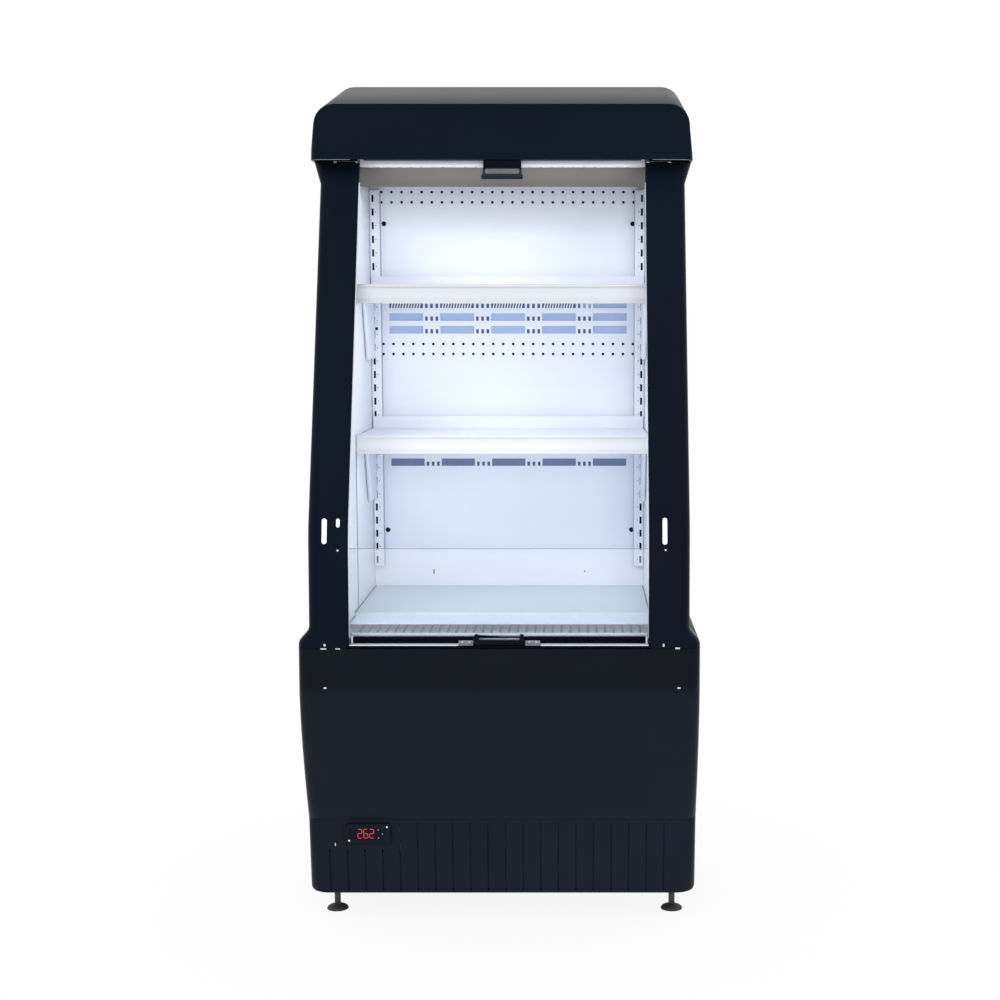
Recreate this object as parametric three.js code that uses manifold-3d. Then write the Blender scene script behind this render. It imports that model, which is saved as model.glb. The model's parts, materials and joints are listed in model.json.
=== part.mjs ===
// An open-fronted upright display cooler: an insulated cabinet on a machine base, with two shelves,
// a perforated air-duct back, a low front glass and a night blind that pulls down from the canopy.
// Millimetres, +Z up, the open front faces -Y, and the origin is on the floor under the middle.

import * as THREE from "three";
import { mergeVertices } from "three/addons/utils/BufferGeometryUtils.js";
import Module from "manifold-3d";

const wasm = await Module();
wasm.setup();

// ---- Driving dimensions: the outside -------------------------------------------------------------
const HEIGHT = 1500;
const DEPTH = 600;
const BODY_WIDTH = 644; // across the two side walls
const BASE_FLARE = 18; // how far the base stands out past the body, each side
const CANOPY_FLARE = 12; // how far the canopy stands out past the body, each side
const PILLAR_WIDTH = 70; // front face of each pillar
const PILLAR_DEPTH = 60; // how far a pillar wraps back along the side
const PILLAR_RETURN = 14; // how far it turns in beside the opening
const WALL = 62; // side wall, outside to inside liner face
const CLEARANCE = 0.3; // fit between pieces that touch
const MOULDING = 4; // moulded plastic skins
const SHEET = 1.5; // folded sheet metal
const LINER = 2; // inner liner

// ---- Driving dimensions: heights and the front's profile -----------------------------------------
const UNDERSIDE = 57; // base over the floor
const GRILLE_TOP = 196; // seam between the louvred grille and the belly panel
const GRILLE_SETBACK = 73; // grille's top edge behind the belly's crown
const GRILLE_TILT = 6.3; // degrees that the grille leans back towards the floor
const BELLY_SETBACK = 71; // belly's lower edge behind its crown
const BELLY_HEIGHT = 434; // crown of the belly
const BASE_TOP = 510; // seam between the belly panel and the pillars
const SHOULDER_LOW = 516; // start of the shoulder between base and body
const SHOULDER_HIGH = 545; // end of it
const BEND_HEIGHT = 705; // where the pillars start to lean back
const BEND_BLEND = 35; // half length of that bend
const BEND_SETBACK = 10; // pillar face behind the belly's crown at the bend
const LEAN = 19.6; // degrees that the pillars lean back
const FLARE_LENGTH = 38; // top of the body, widening to the canopy
const CORNER_RADIUS = 24; // front corners seen from above
const BOTTOM_RADIUS = 8; // lower edge of the base

// ---- Driving dimensions: the canopy --------------------------------------------------------------
const CANOPY_HEIGHT = 163;
const CANOPY_FRONT_HEIGHT = 96; // its front face
const CANOPY_OVERHANG = 41; // front face's lower edge ahead of the pillars' top
const CANOPY_LEAN = 10; // degrees
const CANOPY_TAPER = 9; // narrower at the top, each side
const CANOPY_ROUND = 36; // radius along the two top edges
const RIDGE_SETBACK = 482; // ridge behind the belly's crown: the top is flat from there back

// ---- Driving dimensions: the cabinet's inside ----------------------------------------------------
const CABINET_BOTTOM = 465;
const FLOOR_THICKNESS = 40;
const BACK_THICKNESS = 45;
const ROOF_THICKNESS = 50;
const ROOF_RISE = 34; // roof's underside over the canopy's lower edge
const DUCT_DEPTH = 112; // air duct between the back wall and the perforated panel
const DECK_TOP = 549;
const CEILING_DROP = 26; // ceiling's rear edge under the canopy's lower edge
const CEILING_SLOPE = 18; // ceiling's front edge higher than its rear edge
const CEILING_LIP = 32; // fascia along its front edge, down to its lowest line
const CEILING_LIP_DEPTH = 18; // how far the fascia slopes back
const COIL_RISE = 66; // evaporator over the deck
const COIL_HEIGHT = 150;
const DISCHARGE_INSET = 7; // discharge grille's front behind the pillars' top
const DISCHARGE_WIDTH = 20;

// ---- Driving dimensions: shelves -----------------------------------------------------------------
const SLOT_PITCH = 25.4;
const SLOT_HEIGHT = 13.5;
const SLOT_WIDTH = 4;
const STANDARD_WIDTH = 20;
const STANDARD_DEPTH = 12;
const STANDARD_FOOT = 41; // its lower end over the deck
const SHELF_INSET = 34.6; // shelves' front edge behind the pillars, at the upper shelf
const SHELF_TOPS = { lower: 857, upper: 1121 };
const SHELF_LIP = 28; // front flange of a shelf
const SHELF_UPSTAND = 22; // rear edge of a shelf
const BRACKET_HEIGHT = 131; // at the rear
const BRACKET_HEEL = 85; // length of that high part
const BRACKET_KNEE = 130; // start of the slender arm, ahead of the rear end
const BRACKET_KNEE_HEIGHT = 27;
const BRACKET_TIP = 18; // height at the front end
const BRACKET_SHEET = 2.5;
const RAIL_HEIGHT = 34; // price rail
const RAIL_RISE = 1.5; // its top over the shelf

// ---- Driving dimensions: sill, glass and night blind ---------------------------------------------
const GLASS_THICKNESS = 5;
const GLASS_TOP = 672;
const GLASS_SETBACK = 30; // glass at the sill's top, behind the belly's crown
const SILL_HEIGHT = 17; // top of the sill rail over the base seam
const SILL_STEP = 25; // sill rail's front behind the belly's crown
const RAIL_CHAMFER = 4.5; // height of its broken front edge, clear of the hooked handle's back
const BLIND_MARGIN = 7; // side play of the blind's bar between the pillars
const ROLL_RADIUS = 22; // tube with the blind wound on it
const BAR_HEIGHT = 14;
const BAR_THICKNESS = 10;
const HANDLE_DROP = 34; // pull handle below the bar
const HANDLE_WIDTH = 73;
const HANDLE_THICKNESS = 6;
const BAR_AHEAD = 1; // bar at rest, ahead of the pillars' top
const BAR_RISE = 9; // bar at rest, over the canopy's lower edge
const STRIP_LENGTH = 40; // fabric between the roll and the bar, with the blind up
const DECK_SETBACK = 140; // deck's front edge behind the belly's crown
const DECK_STEP = 19; // return-air grille under the deck
const RETURN_PITCH = 15; // slots of that grille
const RETURN_SLOT = 4;

// ---- Driving dimensions: feet, machine base and controller ---------------------------------------
const FOOT_RADIUS = 19.5;
const FOOT_STEM = 5;
const FOOT_X = 303;
const FRONT_FOOT_INSET = 170; // behind the belly's crown
const REAR_FOOT_INSET = 55; // ahead of the rear face
const FRAME_SHEET = 3;
const FRAME_POST = 30;
const LOUVRE_PITCH = 30.8;
const LOUVRE_WIDTH = 2.5;
const LOUVRE_FOOT = 4; // hem under the louvres
const LOUVRE_OFFSET = -9.1; // the row's middle, left of the grille's middle
const CONDENSER_FAN_RADIUS = 100;
const EVAPORATOR_FAN_RADIUS = 44;
const COMPRESSOR_RADIUS = 82;
const COMPRESSOR_HEIGHT = 176;
const COMPRESSOR_INSET = 190; // its axis ahead of the rear face
const PAN_DEPTH = 200; // drain pan, front to rear
const PAN_INSET = 40; // ahead of the rear face
const CONTROLLER_WIDTH = 77;
const CONTROLLER_HEIGHT = 35;
const CONTROLLER_X = -233;
const CONTROLLER_Z = 170.6;
const BUTTON_TRAVEL = 0.8;

// ---- Worked out from them ------------------------------------------------------------------------
const CROWN = -DEPTH / 2;
const REAR = DEPTH / 2;
const BODY_X = BODY_WIDTH / 2;
const BASE_X = BODY_X + BASE_FLARE;
const CANOPY_X = BODY_X + CANOPY_FLARE;
const OPENING_X = BODY_X - PILLAR_WIDTH;
const INSIDE_X = BODY_X - WALL;
const FIT_X = INSIDE_X - CLEARANCE; // pieces that stand between the liners
const FOAM_X = INSIDE_X + LINER + CLEARANCE; // inner face of the foamed side walls
const CORE_X = FOAM_X - CLEARANCE; // pieces that stand between the side walls
const CANOPY_BOTTOM = HEIGHT - CANOPY_HEIGHT;
const FLARE_START = CANOPY_BOTTOM - FLARE_LENGTH;
const FLOOR_TOP = CABINET_BOTTOM + FLOOR_THICKNESS;
const ROOF_BOTTOM = CANOPY_BOTTOM + ROOF_RISE;
const ROOF_TOP = ROOF_BOTTOM + ROOF_THICKNESS;
const COVERED_REAR = REAR - SHEET - CLEARANCE; // rear end of what the back sheets cover
const BACK_INSIDE = REAR - BACK_THICKNESS;
const DUCT_Y = BACK_INSIDE - DUCT_DEPTH; // front face of the perforated panel
const CEILING_REAR = CANOPY_BOTTOM - CEILING_DROP;
const CEILING_FRONT = CEILING_REAR + CEILING_SLOPE;
const STANDARD_Y = DUCT_Y - STANDARD_DEPTH;
const TRAY_TOP = UNDERSIDE + FRAME_SHEET;
const radians = THREE.MathUtils.degToRad;

// ---- Solids from three.js geometry ---------------------------------------------------------------

// A closed geometry as a solid that can be joined and cut.
function solidOf(geometry) {
  geometry.deleteAttribute("normal");
  geometry.deleteAttribute("uv");
  const merged = mergeVertices(geometry, 1e-4);
  const vertProperties = new Float32Array(merged.attributes.position.array);
  const triVerts = new Uint32Array(merged.index.array);
  return new wasm.Manifold(new wasm.Mesh({ numProp: 3, vertProperties, triVerts }));
}

// The solid's surface as a geometry that a mesh can show.
function geometryOf(solid) {
  const { vertProperties, triVerts } = solid.getMesh();
  const geometry = new THREE.BufferGeometry();
  geometry.setAttribute("position", new THREE.BufferAttribute(vertProperties, 3));
  geometry.setIndex(new THREE.BufferAttribute(triVerts, 1));
  geometry.computeVertexNormals();
  return geometry;
}

const join = (first, ...others) => others.reduce((whole, next) => whole.add(next), first);
const cut = (first, ...others) => others.reduce((whole, next) => whole.subtract(next), first);

// A block between two limits on each axis.
function block([x0, x1], [y0, y1], [z0, z1]) {
  const geometry = new THREE.BoxGeometry(x1 - x0, y1 - y0, z1 - z0);
  geometry.translate((x0 + x1) / 2, (y0 + y1) / 2, (z0 + z1) / 2);
  return solidOf(geometry);
}

// A round bar centred on a point, along one axis.
function rod(axis, radius, length, [x, y, z], sides = 16) {
  const geometry = new THREE.CylinderGeometry(radius, radius, length, sides);
  if (axis === "x") geometry.rotateZ(Math.PI / 2);
  if (axis === "z") geometry.rotateX(Math.PI / 2);
  geometry.translate(x, y, z);
  return solidOf(geometry);
}

// A turned piece: its profile is [radius, height] pairs, from the axis back to the axis.
function turned(profile, sides, matrix = new THREE.Matrix4()) {
  const geometry = new THREE.LatheGeometry(profile.map(([r, h]) => new THREE.Vector2(r, h)), sides);
  geometry.rotateX(Math.PI / 2);
  geometry.applyMatrix4(matrix);
  return solidOf(geometry);
}

// An outline pushed along one axis. The outline is in [y, z], [x, z] or [x, y] for x, y or z.
function prism(axis, outline, [from, to], holes = []) {
  const shape = new THREE.Shape(outline.map(([a, b]) => new THREE.Vector2(a, b)));
  const geometry = new THREE.ExtrudeGeometry(shape, { depth: to - from, bevelEnabled: false });
  const [X, Y, Z] = [new THREE.Vector3(1, 0, 0), new THREE.Vector3(0, 1, 0), new THREE.Vector3(0, 0, 1)];
  const frame = new THREE.Matrix4();
  if (axis === "x") frame.makeBasis(Y, Z, X).setPosition(from, 0, 0);
  if (axis === "y") frame.makeBasis(X, Z, Y.clone().negate()).setPosition(0, to, 0);
  if (axis === "z") frame.setPosition(0, 0, from);
  const openings = holes.map((hole) => prism(axis, hole, [from - 1, to + 1]));
  return cut(solidOf(geometry.applyMatrix4(frame)), ...openings);
}

// Loops of equal length, each counter-clockwise seen from above, skinned from the lowest up.
function loft(loops) {
  const count = loops[0].length;
  const index = [];
  for (let level = 0; level < loops.length - 1; level++) {
    for (let i = 0; i < count; i++) {
      const a = level * count + i;
      const b = level * count + ((i + 1) % count);
      index.push(a, b, b + count, a, b + count, a + count);
    }
  }
  const cap = (loop) => THREE.ShapeUtils.triangulateShape(loop.map(([x, y]) => new THREE.Vector2(x, y)), []);
  const last = (loops.length - 1) * count;
  for (const [a, b, c] of cap(loops[0])) index.push(a, c, b);
  for (const [a, b, c] of cap(loops[loops.length - 1])) index.push(last + a, last + b, last + c);
  const geometry = new THREE.BufferGeometry();
  geometry.setAttribute("position", new THREE.Float32BufferAttribute(loops.flat(2), 3));
  geometry.setIndex(index);
  return solidOf(geometry);
}

// An outline with its corners rounded, one radius for each corner.
function rounded(corners, radii, steps = 5) {
  const points = [];
  corners.forEach((corner, i) => {
    const radius = Array.isArray(radii) ? radii[i] : radii;
    const tip = new THREE.Vector2(...corner);
    if (!radius) {
      points.push(corner);
      return;
    }
    const back = new THREE.Vector2(...corners[(i + corners.length - 1) % corners.length]).sub(tip);
    const ahead = new THREE.Vector2(...corners[(i + 1) % corners.length]).sub(tip);
    const half = Math.acos(back.dot(ahead) / back.length() / ahead.length()) / 2;
    const reach = Math.min(radius / Math.tan(half), 0.49 * back.length(), 0.49 * ahead.length());
    const start = tip.clone().addScaledVector(back.normalize(), reach);
    const middle = back.clone().add(ahead.normalize()).normalize();
    const centre = tip.clone().addScaledVector(middle, reach / Math.cos(half));
    const turn = Math.sign(ahead.cross(back)) * (Math.PI - 2 * half);
    for (let k = 0; k <= steps; k++) {
      const p = start.clone().rotateAround(centre, (turn * k) / steps);
      points.push([p.x, p.y]);
    }
  });
  return points;
}

const rectangle = (x, z, width, height) => [
  [x - width / 2, z - height / 2],
  [x + width / 2, z - height / 2],
  [x + width / 2, z + height / 2],
  [x - width / 2, z + height / 2],
];

const polygon = (x, z, radius, sides) =>
  Array.from({ length: sides }, (_, k) => {
    const angle = (2 * Math.PI * (k + 0.5)) / sides;
    return [x + radius * Math.cos(angle), z + radius * Math.sin(angle)];
  });

// Places across a width at a pitch, centred on the middle.
function spread(width, pitch) {
  const count = Math.max(1, Math.floor(width / pitch) + 1);
  return Array.from({ length: count }, (_, i) => (i - (count - 1) / 2) * pitch);
}

// ---- The outer form ------------------------------------------------------------------------------

// Y of the front face at a height: grille, belly, pillar foot, bend and leaning pillar.
function front(z) {
  if (z <= GRILLE_TOP) {
    return CROWN + GRILLE_SETBACK + (GRILLE_TOP - z) * Math.tan(radians(GRILLE_TILT));
  }
  if (z <= BELLY_HEIGHT) {
    return CROWN + BELLY_SETBACK * ((BELLY_HEIGHT - z) / (BELLY_HEIGHT - GRILLE_TOP)) ** 1.5;
  }
  const footSlope = BEND_SETBACK / (BEND_HEIGHT - BELLY_HEIGHT);
  const past = z - BEND_HEIGHT;
  const blended = (past + BEND_BLEND) ** 2 / (4 * BEND_BLEND);
  const leaning = past <= -BEND_BLEND ? 0 : past >= BEND_BLEND ? past : blended;
  return CROWN + footSlope * (z - BELLY_HEIGHT) + (Math.tan(radians(LEAN)) - footSlope) * leaning;
}

// Half the outer width at a height: base with its rounded lower edge, shoulder, body and flare.
function halfWidth(z) {
  const low = Math.max(0, UNDERSIDE + BOTTOM_RADIUS - z);
  if (low > 0) return BASE_X - BOTTOM_RADIUS + Math.sqrt(Math.max(0, BOTTOM_RADIUS ** 2 - low ** 2));
  if (z <= SHOULDER_LOW) return BASE_X;
  if (z < SHOULDER_HIGH) {
    const share = (z - SHOULDER_LOW) / (SHOULDER_HIGH - SHOULDER_LOW);
    return BODY_X + (BASE_FLARE * (1 + Math.cos(Math.PI * share))) / 2;
  }
  return BODY_X + CANOPY_FLARE * Math.max(0, (z - FLARE_START) / FLARE_LENGTH);
}

const PILLAR_TOP_Y = front(CANOPY_BOTTOM);

const between = (low, high, steps) =>
  Array.from({ length: steps + 1 }, (_, k) => low + ((high - low) * k) / steps);
const SHOULDER_LEVELS = between(SHOULDER_LOW, SHOULDER_HIGH, 5);
const BEND_LEVELS = between(BEND_HEIGHT - BEND_BLEND, BEND_HEIGHT + BEND_BLEND, 3);
const BOTTOM_LEVELS = [0, 0.12, 0.4, 1].map((share) => UNDERSIDE + share * BOTTOM_RADIUS);
const BELLY_LEVELS = between(GRILLE_TOP + CLEARANCE, BELLY_HEIGHT, 7);

// A moulding that runs round the front and wraps back along both sides, at the given heights.
function frontMoulding(levels) {
  const loops = levels.map((z) => {
    const y = front(z);
    const rear = y + PILLAR_DEPTH;
    const path = (inset) => {
      const x = halfWidth(z) - inset;
      const corners = [[-x, rear], [-x, y + inset], [x, y + inset], [x, rear]];
      return rounded(corners, [0, CORNER_RADIUS - inset, CORNER_RADIUS - inset, 0], 4);
    };
    return [...path(0), ...path(MOULDING).reverse()].map(([px, py]) => [px, py, z]);
  });
  return loft(loops);
}

// The region at least a setback behind the front face, as a [y, z] outline between two heights.
function behindFront(low, high, rear, setback) {
  const levels = [low, GRILLE_TOP, ...BELLY_LEVELS, BASE_TOP, ...BEND_LEVELS, CANOPY_BOTTOM, high];
  const used = levels.filter((z) => z >= low && z <= high).sort((a, b) => a - b);
  const edge = used.map((z) => [front(Math.min(z, CANOPY_BOTTOM)) + setback, z]);
  return [[rear, low], [rear, high], ...edge.reverse()];
}
const BEHIND_PILLAR = PILLAR_DEPTH + CLEARANCE;

// ---- Scene ---------------------------------------------------------------------------------------

const group = new THREE.Group();
const PLASTIC = { color: 0x10161e, roughness: 0.38, metalness: 0 };
const PAINT = { color: 0x171b20, roughness: 0.5, metalness: 0.2 };
const WHITE = { color: 0xeef2f6, roughness: 0.4, metalness: 0.1 };
const STEEL = { color: 0x9b9a96, roughness: 0.35, metalness: 0.9 };
const ZINC = { color: 0x8d9296, roughness: 0.5, metalness: 0.8 };
const RUBBER = { color: 0x2b2b2c, roughness: 0.8, metalness: 0 };

function add(name, solid, finish) {
  const mesh = new THREE.Mesh(geometryOf(solid), new THREE.MeshStandardMaterial(finish));
  mesh.name = name;
  group.add(mesh);
  return mesh;
}

// A right-hand piece and its mirror image on the left.
function addPair(name, solid, finish) {
  add(`${name}_right`, solid, finish);
  add(`${name}_left`, solid, finish).scale.x = -1;
}

// ---- Base mouldings ------------------------------------------------------------------------------

// Lower front grille: louvre slots that run out at the bottom, shorter from the left end to the controller.
function louvreGrille() {
  const slots = spread(2 * BASE_X - 3 * LOUVRE_PITCH, LOUVRE_PITCH).map((place) => {
    const x = place + LOUVRE_OFFSET;
    const short = x < CONTROLLER_X + CONTROLLER_WIDTH / 2 + LOUVRE_WIDTH;
    const top = short ? CONTROLLER_Z - CONTROLLER_HEIGHT / 2 - 15 : GRILLE_TOP - 8;
    const across = [x - LOUVRE_WIDTH / 2, x + LOUVRE_WIDTH / 2];
    return block(across, [CROWN, CROWN + GRILLE_SETBACK + 60], [UNDERSIDE + LOUVRE_FOOT, top]);
  });
  const shell = frontMoulding([...BOTTOM_LEVELS, GRILLE_TOP]);
  const opening = block(
    [CONTROLLER_X - CONTROLLER_BODY_WIDTH / 2 - CLEARANCE, CONTROLLER_X + CONTROLLER_BODY_WIDTH / 2 + CLEARANCE],
    [CROWN, CROWN + GRILLE_SETBACK + 60],
    [CONTROLLER_Z - CONTROLLER_BODY_HEIGHT / 2 - 1, CONTROLLER_Z + CONTROLLER_BODY_HEIGHT / 2 + 1],
  );
  return cut(shell, ...slots, opening);
}
const CONTROLLER_BODY_WIDTH = CONTROLLER_WIDTH - 6;
const CONTROLLER_BODY_HEIGHT = CONTROLLER_HEIGHT - 6;
const SEAT_FLANGE_REAR = CROWN + PILLAR_DEPTH - 2;

// Bellied front panel with a seat flange for the sill and stiffening ribs behind.
function bellyPanel() {
  const shell = frontMoulding([...BELLY_LEVELS, BASE_TOP]);
  const flangeFront = front(BASE_TOP) + MOULDING - 0.5;
  const flange = block(
    [-BASE_X + MOULDING - 0.5, BASE_X - MOULDING + 0.5],
    [flangeFront + CORNER_RADIUS, SEAT_FLANGE_REAR],
    [BASE_TOP - MOULDING, BASE_TOP],
  );
  const nose = block(
    [-BASE_X + CORNER_RADIUS, BASE_X - CORNER_RADIUS],
    [flangeFront, flangeFront + CORNER_RADIUS + 1],
    [BASE_TOP - MOULDING, BASE_TOP],
  );
  const inner = [...BELLY_LEVELS.slice(1), BASE_TOP - 1];
  const ribFront = inner.map((z) => [front(z) + MOULDING - 0.5, z]);
  const ribRear = inner.map((z) => [front(z) + MOULDING + 14, z]).reverse();
  const ribs = spread(BASE_X, BASE_X / 3).map((x) =>
    prism("x", [...ribRear.reverse(), ...ribFront.reverse()], [x - 1.5, x + 1.5]),
  );
  return join(shell, flange, nose, ...ribs);
}

// Side of the base: curled in at the bottom, with the shoulder in to the body at the top.
function baseSide() {
  const heights = [...BOTTOM_LEVELS, ...SHOULDER_LEVELS];
  const outer = heights.map((z) => [halfWidth(z), z]);
  const inner = heights.map((z) => {
    const x = halfWidth(Math.max(z, UNDERSIDE + BOTTOM_RADIUS)) - MOULDING;
    return [z < UNDERSIDE + BOTTOM_RADIUS ? halfWidth(z) - MOULDING : x, z];
  });
  const band = prism("y", [...outer, ...inner.reverse()], [CROWN, COVERED_REAR]);
  const region = behindFront(UNDERSIDE - 5, SHOULDER_HIGH + 5, REAR, BEHIND_PILLAR);
  const bodySide = block([0, BODY_X + CLEARANCE], [CROWN, REAR], [CABINET_BOTTOM, HEIGHT]);
  return cut(band.intersect(prism("x", region, [0, BASE_X + 5])), bodySide);
}

// Levelling foot: a domed pad on a threaded stem, seen from its pad up.
function footProfile() {
  return [
    [0, 0],
    [FOOT_RADIUS - 1.5, 0],
    [FOOT_RADIUS, 1.5],
    [FOOT_RADIUS, 4],
    [FOOT_RADIUS * 0.72, 11],
    [FOOT_RADIUS * 0.45, 14],
    [FOOT_STEM + 3.5, 14],
    [FOOT_STEM + 3.5, 20],
    [FOOT_STEM, 20],
    [FOOT_STEM, TRAY_TOP + 9],
    [0, TRAY_TOP + 9],
  ];
}
const FEET = {
  front_left: [-FOOT_X, CROWN + FRONT_FOOT_INSET],
  front_right: [FOOT_X, CROWN + FRONT_FOOT_INSET],
  rear_left: [-FOOT_X, REAR - REAR_FOOT_INSET],
  rear_right: [FOOT_X, REAR - REAR_FOOT_INSET],
};

// Folded steel tray with nut bosses for the feet, four angle posts and a ring that carries the cabinet.
const FRAME_X = BASE_X - BOTTOM_RADIUS - MOULDING - CLEARANCE;
const FRAME_FRONT = front(UNDERSIDE) + CORNER_RADIUS + 1;
const FRAME_REAR = COVERED_REAR;
const RING_TOP = CABINET_BOTTOM - CLEARANCE;
function baseFrame() {
  const tray = block([-FRAME_X, FRAME_X], [FRAME_FRONT, FRAME_REAR], [UNDERSIDE, TRAY_TOP]);
  const ring = prism("z", rectangle(0, (FRAME_FRONT + FRAME_REAR) / 2, 2 * FRAME_X, FRAME_REAR - FRAME_FRONT), [
    RING_TOP - FRAME_SHEET,
    RING_TOP,
  ], [rectangle(0, (FRAME_FRONT + FRAME_REAR) / 2, 2 * (FRAME_X - 60), FRAME_REAR - FRAME_FRONT - 2 * FRAME_POST)]);
  const posts = [];
  for (const side of [-1, 1]) {
    for (const [y, inward] of [[FRAME_FRONT, 1], [FRAME_REAR, -1]]) {
      const x = side * FRAME_X;
      const leg = [x - side * FRAME_SHEET, x - side * FRAME_POST];
      const span = (a, b) => [Math.min(a, b), Math.max(a, b)];
      const height = [TRAY_TOP - 1, RING_TOP - 1];
      posts.push(block(span(x, leg[0]), span(y, y + inward * FRAME_POST), height));
      posts.push(block(span(x, leg[1]), span(y, y + inward * FRAME_SHEET), height));
    }
  }
  const bosses = Object.values(FEET).map(([x, y]) => rod("z", FOOT_STEM + 7, 9, [x, y, TRAY_TOP + 4], 12));
  const threads = Object.values(FEET).map(([x, y]) => rod("z", FOOT_STEM + CLEARANCE, 40, [x, y, TRAY_TOP], 16));
  return cut(join(tray, ring, ...posts, ...bosses), ...threads);
}

// Rear cover of the machine base, with rows of breathing slots.
function rearGrille() {
  const x = BASE_X - MOULDING - CLEARANCE;
  const slots = [];
  for (let z = UNDERSIDE + 60; z < CABINET_BOTTOM - 60; z += 28) {
    for (const column of [-1, 1]) slots.push(rectangle((column * x) / 2, z, x * 0.7, 8));
  }
  const outline = [
    [-x + BOTTOM_RADIUS, UNDERSIDE + CLEARANCE],
    [x - BOTTOM_RADIUS, UNDERSIDE + CLEARANCE],
    [x, UNDERSIDE + BOTTOM_RADIUS],
    [x, CABINET_BOTTOM - CLEARANCE],
    [-x, CABINET_BOTTOM - CLEARANCE],
    [-x, UNDERSIDE + BOTTOM_RADIUS],
  ];
  return prism("y", outline, [REAR - SHEET, REAR], slots);
}

add("louvre_grille", louvreGrille(), PLASTIC);
add("base_front_panel", bellyPanel(), PLASTIC);
addPair("base_side", baseSide(), PLASTIC);
add("base_frame", baseFrame(), PAINT);
add("rear_grille", rearGrille(), PAINT);
for (const [place, [x, y]] of Object.entries(FEET)) {
  const foot = add(`levelling_foot_${place}`, turned(footProfile(), 12), RUBBER);
  foot.position.set(x, y, 0);
}

// ---- Insulated cabinet ---------------------------------------------------------------------------

// Foamed side wall with its painted skin, flared out at the top to meet the canopy.
function sideWall() {
  const region = behindFront(CABINET_BOTTOM, ROOF_TOP, COVERED_REAR, BEHIND_PILLAR);
  const slab = prism("x", region, [FOAM_X, BODY_X]);
  const top = CANOPY_BOTTOM - CLEARANCE;
  const flare = prism("y", [[BODY_X - 1, FLARE_START], [BODY_X, FLARE_START], [halfWidth(top), top], [BODY_X - 1, top]], [
    front(CANOPY_BOTTOM) + PILLAR_DEPTH + CLEARANCE,
    COVERED_REAR,
  ]);
  return join(slab, flare);
}

// Smooth white liner sheet on the inside of a side wall, run forward to the pillar's return.
function sideLiner() {
  const thickness = [INSIDE_X, INSIDE_X + LINER];
  const rear = BACK_INSIDE - CLEARANCE;
  const whole = behindFront(FLOOR_TOP + CLEARANCE, ROOF_BOTTOM - CLEARANCE, rear, BEHIND_PILLAR);
  const [low, high] = [BASE_TOP + MOULDING + 2 * CLEARANCE, CANOPY_BOTTOM - MOULDING - 2 * CLEARANCE];
  const reveal = behindFront(low, high, rear, PILLAR_RETURN + CLEARANCE);
  return join(prism("x", whole, thickness), prism("x", reveal, thickness));
}

function floorInsulation() {
  const front = SEAT_FLANGE_REAR + CLEARANCE;
  return block([-CORE_X, CORE_X], [front, COVERED_REAR], [CABINET_BOTTOM, FLOOR_TOP]);
}

// Foamed back with its steel skin, which covers the ends of the side walls.
function backWall() {
  const slab = block([-CORE_X, CORE_X], [BACK_INSIDE, COVERED_REAR], [FLOOR_TOP + CLEARANCE, ROOF_BOTTOM - CLEARANCE]);
  const bond = block([-CORE_X, CORE_X], [COVERED_REAR - 1, REAR - 1], [FLOOR_TOP + CLEARANCE, CANOPY_BOTTOM - CLEARANCE]);
  const wide = BASE_X - MOULDING - CLEARANCE;
  const right = [[wide, CABINET_BOTTOM], [wide, SHOULDER_LOW - 2], [BODY_X, SHOULDER_HIGH - 2], [BODY_X, CANOPY_BOTTOM - CLEARANCE]];
  const left = right.map(([x, z]) => [-x, z]).reverse();
  return join(slab, bond, prism("y", [...right, ...left], [REAR - SHEET, REAR]));
}

// Foamed roof with the thin nose that closes the air duct over the discharge grille.
const NOSE_BOTTOM = CANOPY_BOTTOM + 9;
const NOSE_THICKNESS = 10;
const DISCHARGE_Y = PILLAR_TOP_Y + DISCHARGE_INSET;
const ROOF_FRONT = DISCHARGE_Y + 62;
function roofInsulation() {
  const slab = block([-CORE_X, CORE_X], [ROOF_FRONT, COVERED_REAR], [ROOF_BOTTOM, ROOF_TOP]);
  const nose = [
    [ROOF_FRONT + 10, ROOF_BOTTOM + 2],
    [ROOF_FRONT, ROOF_BOTTOM + 2],
    [ROOF_FRONT - 6, NOSE_BOTTOM + NOSE_THICKNESS],
    [DISCHARGE_Y, NOSE_BOTTOM + NOSE_THICKNESS],
    [DISCHARGE_Y, NOSE_BOTTOM],
    [ROOF_FRONT - 6, NOSE_BOTTOM],
  ];
  const noseX = OPENING_X + 2 - CLEARANCE;
  return join(slab, prism("x", nose, [-noseX, noseX]));
}

// Front pillar: a moulded channel, open behind, that flares at its foot and under the canopy.
function pillar() {
  const loop = (z, inset, rear) => {
    const corners = [
      [OPENING_X + inset, front(z) + inset],
      [halfWidth(z) - inset, front(z) + inset],
      [halfWidth(z) - inset, front(z) + rear],
      [OPENING_X + inset, front(z) + rear],
    ];
    return rounded(corners, [6 - inset / 2, CORNER_RADIUS - inset, 0, 0], 4).map(([x, y]) => [x, y, z]);
  };
  const middle = [...SHOULDER_LEVELS, ...BEND_LEVELS, FLARE_START];
  const outerLevels = [BASE_TOP + CLEARANCE, ...middle, CANOPY_BOTTOM - CLEARANCE];
  const innerLevels = [BASE_TOP + MOULDING, ...middle, CANOPY_BOTTOM - MOULDING];
  const outer = loft(outerLevels.map((z) => loop(z, 0, PILLAR_DEPTH)));
  const inner = loft(innerLevels.map((z) => loop(z, MOULDING, PILLAR_DEPTH + 5)));
  const beside = innerLevels.map((z) => {
    const y = [front(z) + PILLAR_RETURN, front(z) + PILLAR_DEPTH + 5];
    const x = [OPENING_X - 5, OPENING_X + MOULDING + 1];
    return [[x[0], y[0]], [x[1], y[0]], [x[1], y[1]], [x[0], y[1]]].map(([px, py]) => [px, py, z]);
  });
  return cut(outer, inner, loft(beside));
}

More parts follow.
